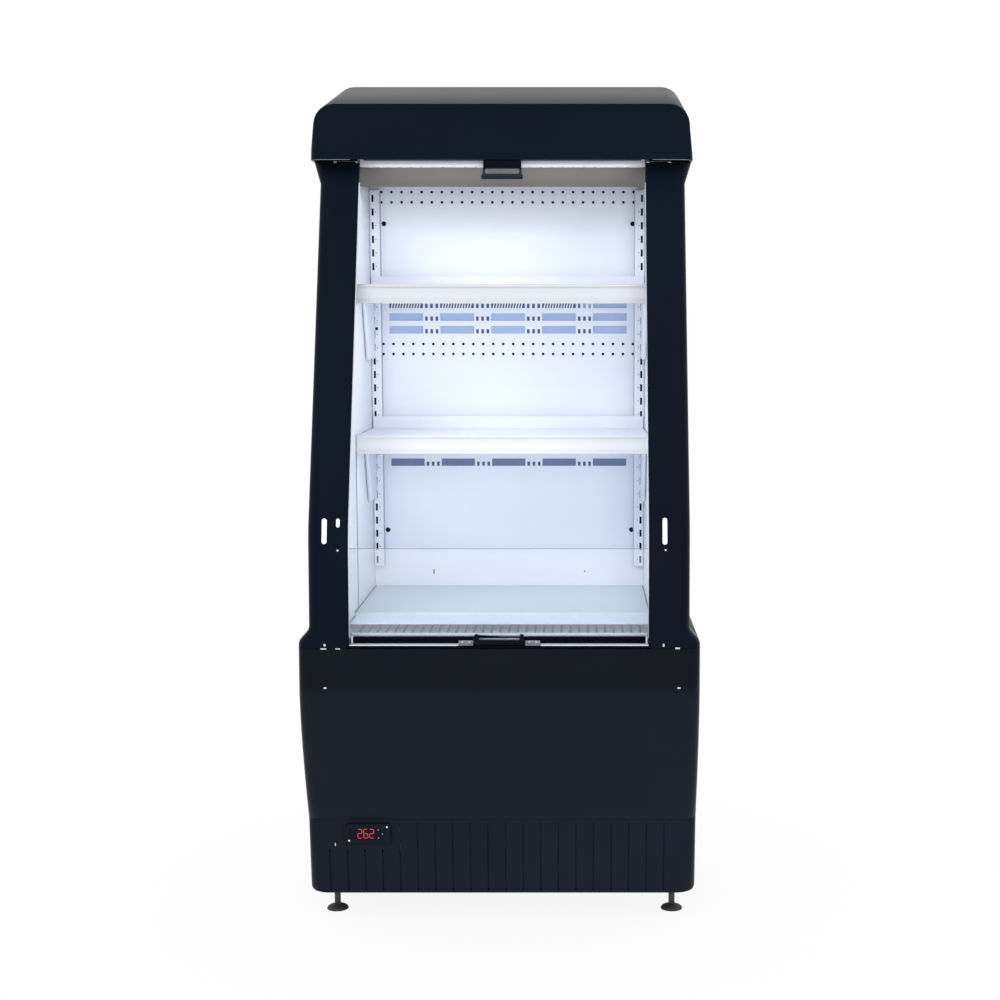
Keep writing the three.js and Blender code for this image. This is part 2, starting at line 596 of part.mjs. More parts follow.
addPair("side_wall", sideWall(), PAINT);
addPair("side_liner", sideLiner(), WHITE);
addPair("pillar", pillar(), PLASTIC);
add("floor_insulation", floorInsulation(), WHITE);
add("back_wall", backWall(), PAINT);
add("roof_insulation", roofInsulation(), WHITE);

// ---- Canopy --------------------------------------------------------------------------------------

const CANOPY_FRONT = PILLAR_TOP_Y - CANOPY_OVERHANG;
const RIDGE = CROWN + RIDGE_SETBACK;
const canopyFace = (z) => CANOPY_FRONT + (z - CANOPY_BOTTOM) * Math.tan(radians(CANOPY_LEAN));
const BROW = canopyFace(CANOPY_BOTTOM + CANOPY_FRONT_HEIGHT);

// The canopy's form, shrunk by an inset: rounded top edges along its depth, rounded front corners.
function canopyForm(inset, low) {
  const brow = CANOPY_BOTTOM + CANOPY_FRONT_HEIGHT;
  const rise = (HEIGHT - brow) / (RIDGE - BROW);
  const section = (y) => {
    const top = Math.min(HEIGHT, brow + (y - BROW) * rise) - inset;
    const shoulder = CANOPY_X - CANOPY_TAPER - inset;
    const corners = [[-CANOPY_X + inset, low], [CANOPY_X - inset, low], [shoulder, top], [-shoulder, top]];
    const edge = rounded(corners, [0, 0, CANOPY_ROUND - inset, CANOPY_ROUND - inset], 6);
    return edge.map(([x, z]) => [x, -z, y]);
  };
  // The loft climbs along its third axis, so the sections are laid down and turned up afterwards.
  const start = CANOPY_FRONT - 10;
  const rear = inset ? REAR - SHEET : REAR;
  const loops = [start, RIDGE, rear].map(section).map((loop) => loop.reverse());
  const lying = geometryOf(loft(loops));
  lying.applyMatrix4(new THREE.Matrix4().set(1, 0, 0, 0, 0, 0, 1, 0, 0, -1, 0, 0, 0, 0, 0, 1));
  const along = solidOf(lying);
  const plan = [low, HEIGHT + 5].map((z) => {
    const face = canopyFace(z) + inset;
    const corners = [[-CANOPY_X, face], [CANOPY_X, face], [CANOPY_X, REAR], [-CANOPY_X, REAR]];
    const inner = corners.map(([x, y]) => [x - Math.sign(x) * inset, y]);
    return rounded(inner, [CORNER_RADIUS - inset, CORNER_RADIUS - inset, 0, 0], 5).map(([x, y]) => [x, y, z]);
  });
  return along.intersect(loft(plan));
}

function canopyShell() {
  return cut(canopyForm(0, CANOPY_BOTTOM), canopyForm(MOULDING, CANOPY_BOTTOM - 20));
}
add("canopy_shell", canopyShell(), PLASTIC);

// Lamp batten on the inside of the canopy's front, hidden behind its lip.
function lampBatten() {
  const low = CANOPY_BOTTOM + 5;
  const inside = (z) => canopyFace(z) + MOULDING + CLEARANCE;
  const profile = [
    [inside(low), low],
    [inside(low) + 14, low],
    [inside(low) + 14, low + 9],
    [inside(low + 16), low + 16],
  ];
  return prism("x", profile, [-INSIDE_X + 20, INSIDE_X - 20]);
}
add("led_lamp", lampBatten(), WHITE);

// ---- Air path: ceiling, discharge grille and perforated back -------------------------------------

const DISCHARGE_REAR = DISCHARGE_Y + DISCHARGE_WIDTH;
function ceilingPanel() {
  const [y0, y1] = [DISCHARGE_REAR + CLEARANCE, DUCT_Y - CLEARANCE];
  const [lipY, lipZ] = [y0 + CEILING_LIP_DEPTH, CEILING_FRONT - CEILING_LIP];
  const skin = [
    [y0, CEILING_FRONT],
    [lipY, lipZ],
    [y1, CEILING_REAR],
    [y1, CEILING_REAR + SHEET],
    [lipY + SHEET * 0.7, lipZ + SHEET],
    [y0 + SHEET * 1.2, CEILING_FRONT],
  ];
  const ear = [[lipY + 60, CEILING_REAR - 4], [y1 - 2, CEILING_REAR + 1], [y1 - 2, ROOF_BOTTOM - CLEARANCE], [y0 + 100, ROOF_BOTTOM - CLEARANCE]];
  const ears = [-1, 1].map((side) => {
    const x = side * FIT_X;
    return prism("x", ear, side > 0 ? [x - SHEET, x] : [x, x + SHEET]);
  });
  return join(prism("x", skin, [-FIT_X, FIT_X]), ...ears);
}

// Discharge grille: a grid of cells that blows the cold air curtain down the open front.
function dischargeGrille() {
  const wide = OPENING_X - CLEARANCE; // it sits between the pillars' returns
  const cells = spread(2 * wide - 24, 19.2).map((x) =>
    rectangle(x, (DISCHARGE_Y + DISCHARGE_REAR) / 2, 16.4, DISCHARGE_WIDTH - 5),
  );
  const outline = rectangle(0, (DISCHARGE_Y + DISCHARGE_REAR) / 2, 2 * wide, DISCHARGE_WIDTH);
  const grid = prism("z", outline, [CEILING_FRONT, CEILING_FRONT + 10], cells);
  const faceTop = NOSE_BOTTOM - CLEARANCE;
  const face = block([-wide, wide], [DISCHARGE_Y, DISCHARGE_Y + SHEET], [CEILING_FRONT, faceTop]);
  return join(grid, face);
}

// Perforated duct panel: rows of round holes and banks of wide slots, behind each shelf's space.
const HOLE_PITCH = 19.05;
const HOLE_ROWS = [1301, 1282, 1016, 997];
const BANK_ROWS = [1091, 1067, 1043, 838, 814, 790];
const BANK_PITCH = 97;
const BANK_SLOT = [64, 14];
function ductPanel() {
  const top = CEILING_REAR - CLEARANCE;
  const bottom = DECK_TOP + CLEARANCE;
  const holes = [];
  for (const z of HOLE_ROWS.filter((row) => row < top - 6)) {
    for (const x of spread(2 * (FIT_X - STANDARD_WIDTH) + 5, HOLE_PITCH)) holes.push(polygon(x, z, 3, 5));
  }
  for (const z of BANK_ROWS.filter((row) => row < top - 12)) {
    for (const x of spread(4 * BANK_PITCH, BANK_PITCH)) holes.push(rectangle(x, z, ...BANK_SLOT));
  }
  const sheet = prism("y", rectangle(0, (top + bottom) / 2, 2 * FIT_X, top - bottom), [DUCT_Y, DUCT_Y + SHEET], holes);
  const flanges = [-1, 1].map((side) => {
    const x = side * FIT_X;
    const thickness = side > 0 ? [x - SHEET, x] : [x, x + SHEET];
    return block(thickness, [DUCT_Y + 0.5, BACK_INSIDE - CLEARANCE], [bottom, top]);
  });
  return join(sheet, ...flanges);
}

add("ceiling_panel", ceilingPanel(), STEEL);
add("discharge_grille", dischargeGrille(), WHITE);
add("rear_duct_panel", ductPanel(), WHITE);

// ---- Shelves -------------------------------------------------------------------------------------

const STANDARD_X = [FIT_X - STANDARD_WIDTH, FIT_X];
const SLOT_X = FIT_X - 6;
const STANDARD_BOTTOM = DECK_TOP + STANDARD_FOOT;
const STANDARD_TOP = CEILING_REAR - 7;
const SLOTS = Array.from(
  { length: Math.floor((STANDARD_TOP - STANDARD_BOTTOM - SLOT_HEIGHT) / SLOT_PITCH + 0.5) },
  (_, i) => STANDARD_BOTTOM + SLOT_PITCH * (i + 0.5),
);

// Slotted upright: a channel open behind, with a column of hook slots down its face.
function shelfStandard() {
  const middle = (STANDARD_X[0] + STANDARD_X[1]) / 2;
  const height = STANDARD_TOP - STANDARD_BOTTOM;
  const face = rectangle(middle, (STANDARD_TOP + STANDARD_BOTTOM) / 2, STANDARD_WIDTH, height);
  const slots = SLOTS.map((z) => rectangle(SLOT_X, z, SLOT_WIDTH, SLOT_HEIGHT));
  const web = prism("y", face, [STANDARD_Y, STANDARD_Y + SHEET], slots);
  const flanges = [
    [STANDARD_X[0], STANDARD_X[0] + SHEET],
    [STANDARD_X[1] - SHEET, STANDARD_X[1]],
  ].map((x) => block(x, [STANDARD_Y, DUCT_Y - CLEARANCE], [STANDARD_BOTTOM, STANDARD_TOP]));
  return join(web, ...flanges);
}

// Cantilever bracket: a slender arm on a deep heel, whose hooks reach through the slots and drop behind the face.
function shelfBracket(shelfTop) {
  const top = shelfTop - SHEET - CLEARANCE;
  const rear = STANDARD_Y - CLEARANCE;
  const tip = SHELF_FRONT + 14;
  const x = [SLOT_X - BRACKET_SHEET / 2, SLOT_X + BRACKET_SHEET / 2];
  const cheek = [
    [tip, top - BRACKET_TIP],
    [rear - BRACKET_KNEE, top - BRACKET_KNEE_HEIGHT],
    [rear - BRACKET_HEEL, top - BRACKET_HEIGHT],
    [rear, top - BRACKET_HEIGHT],
    [rear, top],
    [tip, top],
  ];
  const inFace = SLOTS.filter((z) => z + SLOT_HEIGHT / 2 < top && z - SLOT_HEIGHT / 2 > top - BRACKET_HEIGHT);
  const hooks = inFace.map((z) => {
    const seat = z - SLOT_HEIGHT / 2 + CLEARANCE;
    const behind = STANDARD_Y + SHEET + CLEARANCE;
    return prism("x", [
      [rear - 1, seat],
      [behind, seat],
      [behind, seat - 4],
      [behind + 3, seat - 4],
      [behind + 3, seat + 9],
      [rear - 1, seat + 9],
    ], x);
  });
  const ledge = block([x[0] - 12, x[0] + 0.5], [tip + 4, rear - 4], [top - SHEET, top]);
  return join(prism("x", cheek, x), ledge, ...hooks);
}

// Folded shelf: flat deck, upstand at the rear, flange and return at the front.
const SHELF_FRONT = front(SHELF_TOPS.upper) + SHELF_INSET;
function shelfPlate(top) {
  const rear = STANDARD_Y - 1.5;
  const low = top - SHEET;
  const profile = [
    [SHELF_FRONT, top - SHELF_LIP],
    [SHELF_FRONT + 12, top - SHELF_LIP],
    [SHELF_FRONT + 12, top - SHELF_LIP + SHEET],
    [SHELF_FRONT + SHEET, top - SHELF_LIP + SHEET],
    [SHELF_FRONT + SHEET, low],
    [rear, low],
    [rear, top + SHELF_UPSTAND],
    [rear - SHEET, top + SHELF_UPSTAND],
    [rear - SHEET, top],
    [SHELF_FRONT, top],
  ];
  return prism("x", profile, [-FIT_X + 2, FIT_X - 2]);
}

// Price rail: an extruded ticket strip that hooks over the shelf's front edge.
function priceRail(top) {
  const back = SHELF_FRONT - CLEARANCE;
  const high = top + RAIL_RISE;
  const low = high - RAIL_HEIGHT;
  const profile = [
    [back, low + 1],
    [back, top + CLEARANCE],
    [back + 8, top + CLEARANCE],
    [back + 8, high],
    [back - 3.2, high],
    [back - 4.6, high - 1.2],
    [back - 4.6, high - 5],
    [back - 3.4, high - 5],
    [back - 3.2, high - 2.4],
    [back - 2, high - 2.4],
    [back - 2, low + 2.4],
    [back - 3.2, low + 2.4],
    [back - 3.4, low + 6],
    [back - 4.6, low + 6],
    [back - 4.6, low + 1],
    [back - 3.6, low],
    [back - 1, low],
  ].reverse();
  return prism("x", profile, [-FIT_X + 4, FIT_X - 4]);
}

addPair("shelf_standard", shelfStandard(), WHITE);
for (const [level, top] of Object.entries(SHELF_TOPS)) {
  addPair(`shelf_bracket_${level}`, shelfBracket(top), WHITE);
  add(`shelf_plate_${level}`, shelfPlate(top), WHITE);
  add(`price_rail_${level}`, priceRail(top), WHITE);
}

// ---- Deck, return-air grille, sill and front glass -----------------------------------------------

const GLASS_FRONT = CROWN + GLASS_SETBACK;
const RAIL_FRONT = CROWN + SILL_STEP;
const RAIL_REAR = GLASS_FRONT + GLASS_THICKNESS + 7;
const RAIL_TOP = BASE_TOP + SILL_HEIGHT;
const DECK_FRONT = CROWN + DECK_SETBACK;
const RETURN_TOP = DECK_TOP - DECK_STEP;

// Deck over the return air: it stands on its two sides, with a step down to the grille at its front.
function deckPan() {
  const foot = FLOOR_TOP + CLEARANCE;
  const inner = FIT_X - SHEET;
  const profile = [
    [-FIT_X, foot],
    [-inner, foot],
    [-inner, DECK_TOP - SHEET],
    [inner, DECK_TOP - SHEET],
    [inner, foot],
    [FIT_X, foot],
    [FIT_X, DECK_TOP],
    [-FIT_X, DECK_TOP],
  ];
  return prism("y", profile, [DECK_FRONT, DUCT_Y - CLEARANCE - 1]);
}

// Slotted grille between the sill and the deck, through which the air goes back to the coil. Its rear
// edge is folded up to close the step to the deck.
function returnGrille() {
  const [y0, y1] = [RAIL_REAR + CLEARANCE, DECK_FRONT - CLEARANCE];
  const sheet = block([-FIT_X, FIT_X], [y0, y1], [RETURN_TOP - SHEET, RETURN_TOP]);
  const lip = join(
    block([-OPENING_X + 1, OPENING_X - 1], [y0, y0 + SHEET], [BASE_TOP + CLEARANCE, RETURN_TOP]),
    block([-FIT_X, FIT_X], [y0, y0 + SHEET], [BASE_TOP + MOULDING + 2 * CLEARANCE, RETURN_TOP]),
  );
  const sides = [-1, 1].map((side) => {
    const x = side * FIT_X;
    const thickness = side > 0 ? [x - SHEET, x] : [x, x + SHEET];
    return block(thickness, [SEAT_FLANGE_REAR + 7, y1], [FLOOR_TOP + CLEARANCE, RETURN_TOP]);
  });
  const step = block([-FIT_X, FIT_X], [y1 - SHEET, y1], [RETURN_TOP - SHEET, DECK_TOP]);
  const slots = spread(2 * FIT_X - 36, RETURN_PITCH).map((x) =>
    block([x - RETURN_SLOT / 2, x + RETURN_SLOT / 2], [y0 + 8, y1 - 5], [RETURN_TOP - 10, RETURN_TOP + 10]),
  );
  return cut(join(sheet, lip, step, ...sides), ...slots);
}

// Sill: a black rail, grooved for the leaning glass, with a foot that stands on the belly's flange.
const GROOVE_FLOOR = BASE_TOP + CLEARANCE + 5;
function sillRail() {
  const x = OPENING_X - CLEARANCE;
  const seat = BASE_TOP + CLEARANCE;
  const groove = (z, side) => [glassY(z) + (side ? GLASS_THICKNESS / -DOWN.y + CLEARANCE : -CLEARANCE), z];
  const profile = [
    [CATCH_Y - 4, seat],
    [RAIL_REAR, seat],
    [RAIL_REAR, RAIL_TOP],
    groove(RAIL_TOP, 1),
    groove(GROOVE_FLOOR, 1),
    groove(GROOVE_FLOOR, 0),
    groove(RAIL_TOP, 0),
    [RAIL_FRONT + 3, RAIL_TOP],
    [RAIL_FRONT, RAIL_TOP - RAIL_CHAMFER],
    [RAIL_FRONT, seat + 5],
    [CATCH_Y - 4, seat + 5],
  ];
  return prism("x", profile, [-x, x]);
}

// Front face of the glass at a height: it leans back as the blind's line does.
const glassY = (z) => GLASS_FRONT + ((z - RAIL_TOP) * DOWN.x) / DOWN.y;

function glassRiser() {
  const pane = (low, high, x) => {
    const thick = GLASS_THICKNESS / -DOWN.y;
    return prism("x", [[glassY(low), low], [glassY(low) + thick, low], [glassY(high) + thick, high], [glassY(high), high]], [-x, x]);
  };
  return join(pane(GROOVE_FLOOR + CLEARANCE, RAIL_TOP + 8, OPENING_X - 1), pane(RAIL_TOP + 4, GLASS_TOP, FIT_X));
}

// ---- Night blind ---------------------------------------------------------------------------------

// The blind runs down one straight line, from the bar's place under the canopy to the catch.
const BAR_Y = PILLAR_TOP_Y - BAR_AHEAD;
const BAR_Z = CANOPY_BOTTOM + BAR_RISE;
const HANDLE_END = BAR_HEIGHT / 2 + CLEARANCE + HANDLE_DROP; // handle's lower edge from the bar's middle
const CATCH_THICKNESS = 6;
const HOOK_Y = RAIL_FRONT - 4.6; // middle of the handle when it is hooked
const HOOK_Z = BASE_TOP + 8; // handle's lower edge then
const CATCH_Y = HOOK_Y - HANDLE_THICKNESS / 2 - 1.4 - CATCH_THICKNESS;
const DOWN = new THREE.Vector2(HOOK_Y - BAR_Y, HOOK_Z - BAR_Z).normalize();
const ACROSS = new THREE.Vector2(-DOWN.y, DOWN.x);
const BLIND_TRAVEL = Math.hypot(HOOK_Y - BAR_Y, HOOK_Z - BAR_Z) - HANDLE_END;

// A [y, z] point at a distance down the blind's line from the bar's middle, and off the line.
const onBlind = (along, off) => [
  BAR_Y + DOWN.x * along + ACROSS.x * off,
  BAR_Z + DOWN.y * along + ACROSS.y * off,
];
const blindPrism = (from, to, near, far, x) =>
  prism("x", [onBlind(from, near), onBlind(to, near), onBlind(to, far), onBlind(from, far)], x);

const BLIND_X = OPENING_X - BLIND_MARGIN;
const FABRIC = 0.8;
const ROLL_ALONG = -BAR_HEIGHT / 2 - STRIP_LENGTH;
const [ROLL_Y, ROLL_Z] = onBlind(ROLL_ALONG, ROLL_RADIUS);
const PIN_RADIUS = 4;

function blindRoller() {
  const roll = rod("x", ROLL_RADIUS - CLEARANCE, 2 * BLIND_X - 4, [0, ROLL_Y, ROLL_Z], 24);
  const tube = rod("x", 14, 2 * OPENING_X + 2, [0, ROLL_Y, ROLL_Z], 20);
  const pins = rod("x", PIN_RADIUS, 2 * OPENING_X + 10, [0, ROLL_Y, ROLL_Z], 16);
  return join(roll, tube, pins);
}

// End bracket of the roller, which stands on the pillar's top.
function blindBracket() {
  const foot = CANOPY_BOTTOM + CLEARANCE;
  const x = OPENING_X + 2;
  const cheek = rounded([
    [ROLL_Y - 16, foot],
    [ROLL_Y + 16, foot],
    [ROLL_Y + 16, ROLL_Z + 16],
    [ROLL_Y - 16, ROLL_Z + 16],
  ], [0, 0, 10, 10], 4);
  const plate = prism("x", cheek, [x, x + SHEET + 1]);
  const foothold = block([x, x + 44], [ROLL_Y - 16, ROLL_Y + 16], [foot, foot + SHEET + 1]);
  const bore = rod("x", PIN_RADIUS + CLEARANCE, 40, [x, ROLL_Y, ROLL_Z], 16);
  return cut(join(plate, foothold), bore);
}

const blindBar = () => blindPrism(-BAR_HEIGHT / 2, BAR_HEIGHT / 2, -BAR_THICKNESS / 2, BAR_THICKNESS / 2, [-BLIND_X, BLIND_X]);

// The strip of cloth between the roll and the bar. It lengthens as the blind comes down.
const fabricStrip = () =>
  blindPrism(ROLL_ALONG, -BAR_HEIGHT / 2 - CLEARANCE, -FABRIC / 2 - CLEARANCE, FABRIC / 2 - CLEARANCE, [-BLIND_X + 2, BLIND_X - 2]);

// Pull handle under the bar: a plate that widens downwards, with a finger window over its lower rail.
function blindHandle() {
  const top = BAR_HEIGHT / 2 + CLEARANCE;
  const half = HANDLE_WIDTH / 2;
  const outline = [
    [-half + 3.5, top],
    [half - 3.5, top],
    [half - 2, top + HANDLE_DROP - 9],
    [half, top + HANDLE_DROP - 6],
    [half, top + HANDLE_DROP],
    [-half, top + HANDLE_DROP],
    [-half, top + HANDLE_DROP - 6],
    [-half + 2, top + HANDLE_DROP - 9],
  ];
  const window = rounded(rectangle(0, top + HANDLE_DROP - 14, HANDLE_WIDTH - 13, 10), 2, 2);
  const shape = new THREE.Shape(outline.map(([a, b]) => new THREE.Vector2(a, b)));
  shape.holes = [new THREE.Path(window.map(([a, b]) => new THREE.Vector2(a, b)))];
  const geometry = new THREE.ExtrudeGeometry(shape, { depth: HANDLE_THICKNESS, bevelEnabled: false });
  const down = new THREE.Vector3(0, DOWN.x, DOWN.y);
  const across = new THREE.Vector3(0, ACROSS.x, ACROSS.y);
  const [y, z] = onBlind(0, -HANDLE_THICKNESS / 2);
  geometry.applyMatrix4(new THREE.Matrix4().makeBasis(new THREE.Vector3(1, 0, 0), down, across).setPosition(0, y, z));
  return solidOf(geometry);
}

// Catch on the sill: two posts and two bars, in front of which the handle's lower rail is held.
function blindCatch() {
  const seat = BASE_TOP + CLEARANCE + 5 + CLEARANCE;
  const half = HANDLE_WIDTH / 2 + 7;
  const outline = rounded([[-half, seat], [half, seat], [half - 2, RAIL_TOP + 7], [-half + 2, RAIL_TOP + 7]], [0, 0, 3, 3], 3);
  const gap = rectangle(0, RAIL_TOP - 1.5, 2 * half - 18, 4);
  return prism("y", outline, [CATCH_Y, CATCH_Y + CATCH_THICKNESS], [gap]);
}

add("deck_pan", deckPan(), WHITE);
add("return_air_grille", returnGrille(), WHITE);
add("sill_rail", sillRail(), PLASTIC);
const glass = add("glass_riser", glassRiser(), { color: 0xd9eaf5, roughness: 0.05, metalness: 0 });
glass.material.transparent = true;
glass.material.opacity = 0.3;
add("blind_catch", blindCatch(), PLASTIC);
add("blind_roller", blindRoller(), ZINC);
addPair("blind_bracket", blindBracket(), ZINC);
add("blind_fabric", fabricStrip(), { color: 0xb9bec4, roughness: 0.7, metalness: 0 });
add("blind_bar", blindBar(), PLASTIC);
add("blind_handle", blindHandle(), PLASTIC);

// ---- Evaporator in the duct ----------------------------------------------------------------------

// A finned coil: thin fins above and below a tube pack, between two end plates.
function finnedCoil(x, y, z, nearPitch, finHeight) {
  const outline = [];
  const count = Math.round((x[1] - x[0]) / nearPitch);
  const finPitch = (x[1] - x[0]) / (count + 0.4);
  for (let i = 0; i < count; i++) {
    const left = x[0] + i * finPitch;
    outline.push([left, z[1]], [left + finPitch * 0.4, z[1]]);
    outline.push([left + finPitch * 0.4, z[1] - finHeight], [left + finPitch, z[1] - finHeight]);
  }
  const right = x[0] + count * finPitch;
  outline.push([right, z[1]], [right + finPitch * 0.4, z[1]]);
  const lower = outline.map(([px, pz]) => [px, z[0] + z[1] - pz]).reverse();
  return prism("y", [...outline, ...lower].reverse(), y);
}

// A return bend: half a ring of tube that stands out of a coil's end.
function returnBend(x, y, z, reach) {
  const curve = new THREE.CatmullRomCurve3([
    new THREE.Vector3(x - 4, y, z - reach),
    new THREE.Vector3(x + 6, y, z - reach),
    new THREE.Vector3(x + 6 + reach * 0.7, y, z - reach * 0.7),
    new THREE.Vector3(x + 6 + reach, y, z),
    new THREE.Vector3(x + 6 + reach * 0.7, y, z + reach * 0.7),
    new THREE.Vector3(x + 6, y, z + reach),
    new THREE.Vector3(x - 4, y, z + reach),
  ]);
  return tube(curve, 4.5, 6);
}

// A round tube along a curve.
function tube(curve, radius, steps) {
  const section = new THREE.Shape(polygon(0, 0, radius, 6).map(([a, b]) => new THREE.Vector2(a, b)));
  return solidOf(new THREE.ExtrudeGeometry(section, { steps, extrudePath: curve, bevelEnabled: false }));
}

const COIL_Y = [BACK_INSIDE - CLEARANCE - 84, BACK_INSIDE - CLEARANCE];
const COIL_Z = [DECK_TOP + COIL_RISE, DECK_TOP + COIL_RISE + COIL_HEIGHT];
function evaporatorCoil() {
  const end = FIT_X - 68;
  const pack = finnedCoil([-FIT_X + 40, end], COIL_Y, COIL_Z, 30, 26);
  const bends = [-1, 0, 1].map((row) => returnBend(end, (COIL_Y[0] + COIL_Y[1]) / 2, (COIL_Z[0] + COIL_Z[1]) / 2 + row * 44, 13));
  return join(pack, ...bends);
}

// Fan deck across the foot of the duct: a plate with the fan's ring and the motor on its three arms.
const DECK_FAN_Y = (DUCT_Y + BACK_INSIDE) / 2 + 1;
const FAN_PLATE = DECK_TOP + 9;
const SHAFT_RADIUS = 3;
function evaporatorFanDeck() {
  const y = [DUCT_Y + SHEET + CLEARANCE, BACK_INSIDE - CLEARANCE];
  const ringRadius = EVAPORATOR_FAN_RADIUS + 4;
  const x = FIT_X - SHEET - CLEARANCE;
  const plate = block([-x, x], y, [FAN_PLATE, FAN_PLATE + SHEET]);
  const ring = rod("z", ringRadius + 2, 26, [0, DECK_FAN_Y, FAN_PLATE + 13], 24);
  const mouth = rod("z", ringRadius, 60, [0, DECK_FAN_Y, FAN_PLATE + 13], 24);
  const motor = rod("z", 20, 34, [0, DECK_FAN_Y, FAN_PLATE - 19], 16);
  const bore = rod("z", SHAFT_RADIUS + CLEARANCE, 30, [0, DECK_FAN_Y, FAN_PLATE], 12);
  const arms = [0, 1, 2].map((k) => {
    const geometry = new THREE.BoxGeometry(ringRadius - 12, 6, 3);
    geometry.translate(12 + (ringRadius - 12) / 2 + 1.5, 0, 0);
    geometry.rotateZ((k * 2 * Math.PI) / 3 + Math.PI / 6);
    geometry.translate(0, DECK_FAN_Y, FAN_PLATE - 3 + 1.5);
    return solidOf(geometry);
  });
  const hub = rod("z", 14, 4, [0, DECK_FAN_Y, FAN_PLATE - 1.9], 16);
  const rim = cut(rod("z", ringRadius + 2, 6, [0, DECK_FAN_Y, FAN_PLATE - 2], 24), rod("z", ringRadius, 20, [0, DECK_FAN_Y, FAN_PLATE], 24));
  return cut(join(cut(join(plate, ring), mouth), rim, motor, hub, ...arms), bore);
}

// An axial fan about +Z at the origin: hub, shaft below and flat pitched blades with round tips.
const BLADE_PITCH = 26; // degrees
function axialFan(radius, hubRadius, depth, blades, shaft) {
  const hub = rod("z", hubRadius, depth, [0, 0, depth / 2], 20);
  const spindle = rod("z", SHAFT_RADIUS, shaft + 2, [0, 0, -shaft / 2 + 1], 12);
  const [root, tip] = [radius * 0.17, radius * 0.29];
  const edge = [-1, -0.5, 0, 0.5, 1].map((share) => {
    const across = tip * share;
    return [Math.sqrt(radius ** 2 - (across * Math.cos(radians(BLADE_PITCH))) ** 2), across];
  });
  const outline = [[hubRadius * 0.4, -root], ...edge, [hubRadius * 0.4, root]];
  const blade = prism("z", outline, [-1, 1]).rotate([BLADE_PITCH, 0, 0]).translate([0, 0, depth / 2]);
  const ring = Array.from({ length: blades }, (_, k) => blade.rotate([0, 0, (k * 360) / blades]));
  return join(hub, spindle, ...ring);
}

add("evaporator_coil", evaporatorCoil(), ZINC);
add("evaporator_fan_deck", evaporatorFanDeck(), ZINC);
const evaporatorFan = add("evaporator_fan", axialFan(EVAPORATOR_FAN_RADIUS, 16, 20, 5, 14), RUBBER);
evaporatorFan.position.set(0, DECK_FAN_Y, FAN_PLATE + 3);

// ---- Condensing unit in the base -----------------------------------------------------------------

const CONDENSER_X = [-110, 210];
const CONDENSER_Y = FRAME_FRONT + 12;
const CONDENSER_DEPTH = 40;
const CONDENSER_Z = [TRAY_TOP + CLEARANCE, TRAY_TOP + 2 * CONDENSER_FAN_RADIUS + 40];
function condenserCoil() {
  const y = [CONDENSER_Y, CONDENSER_Y + CONDENSER_DEPTH];
  const pack = finnedCoil(CONDENSER_X, y, CONDENSER_Z, 25, 18);
  const end = CONDENSER_X[1];
  const middle = (CONDENSER_Z[0] + CONDENSER_Z[1]) / 2;
  const bends = [-1.5, -0.5, 0.5, 1.5].map((row) => returnBend(end, CONDENSER_Y + CONDENSER_DEPTH / 2, middle + row * 46, 14));
  return join(pack, ...bends);
}

// Fan shroud bolted to the condenser, with the fan motor held on arms behind the fan.
const FAN_X = (CONDENSER_X[0] + CONDENSER_X[1]) / 2;
const FAN_Z = (CONDENSER_Z[0] + CONDENSER_Z[1]) / 2 + 6;
const SHROUD_Y = CONDENSER_Y + CONDENSER_DEPTH + CLEARANCE;
const SHROUD_DEPTH = 52;
function fanShroud() {
  const half = CONDENSER_FAN_RADIUS + 14;
  const radius = CONDENSER_FAN_RADIUS + 5;
  const low = TRAY_TOP + CLEARANCE;
  const y = [SHROUD_Y, SHROUD_Y + SHROUD_DEPTH];
  const plate = block([FAN_X - half, FAN_X + half], [y[0], y[0] + SHEET], [low, FAN_Z + half]);
  const ring = rod("y", radius + 2, SHROUD_DEPTH, [FAN_X, (y[0] + y[1]) / 2, FAN_Z], 28);
  const mouth = rod("y", radius, 2 * SHROUD_DEPTH, [FAN_X, (y[0] + y[1]) / 2, FAN_Z], 28);
  const motor = rod("y", 34, 46, [FAN_X, y[1] + 20, FAN_Z], 16);
  const arms = [45, 135].map((angle) => {
    const geometry = new THREE.BoxGeometry(2 * radius + 2, 4, 10);
    geometry.rotateY(radians(angle));
    geometry.translate(FAN_X, y[1] - 2, FAN_Z);
    return solidOf(geometry);
  });
  const bore = rod("y", SHAFT_RADIUS + CLEARANCE, 40, [FAN_X, y[1], FAN_Z], 12);
  return cut(join(cut(join(plate, ring), mouth), ...arms, motor), bore);
}

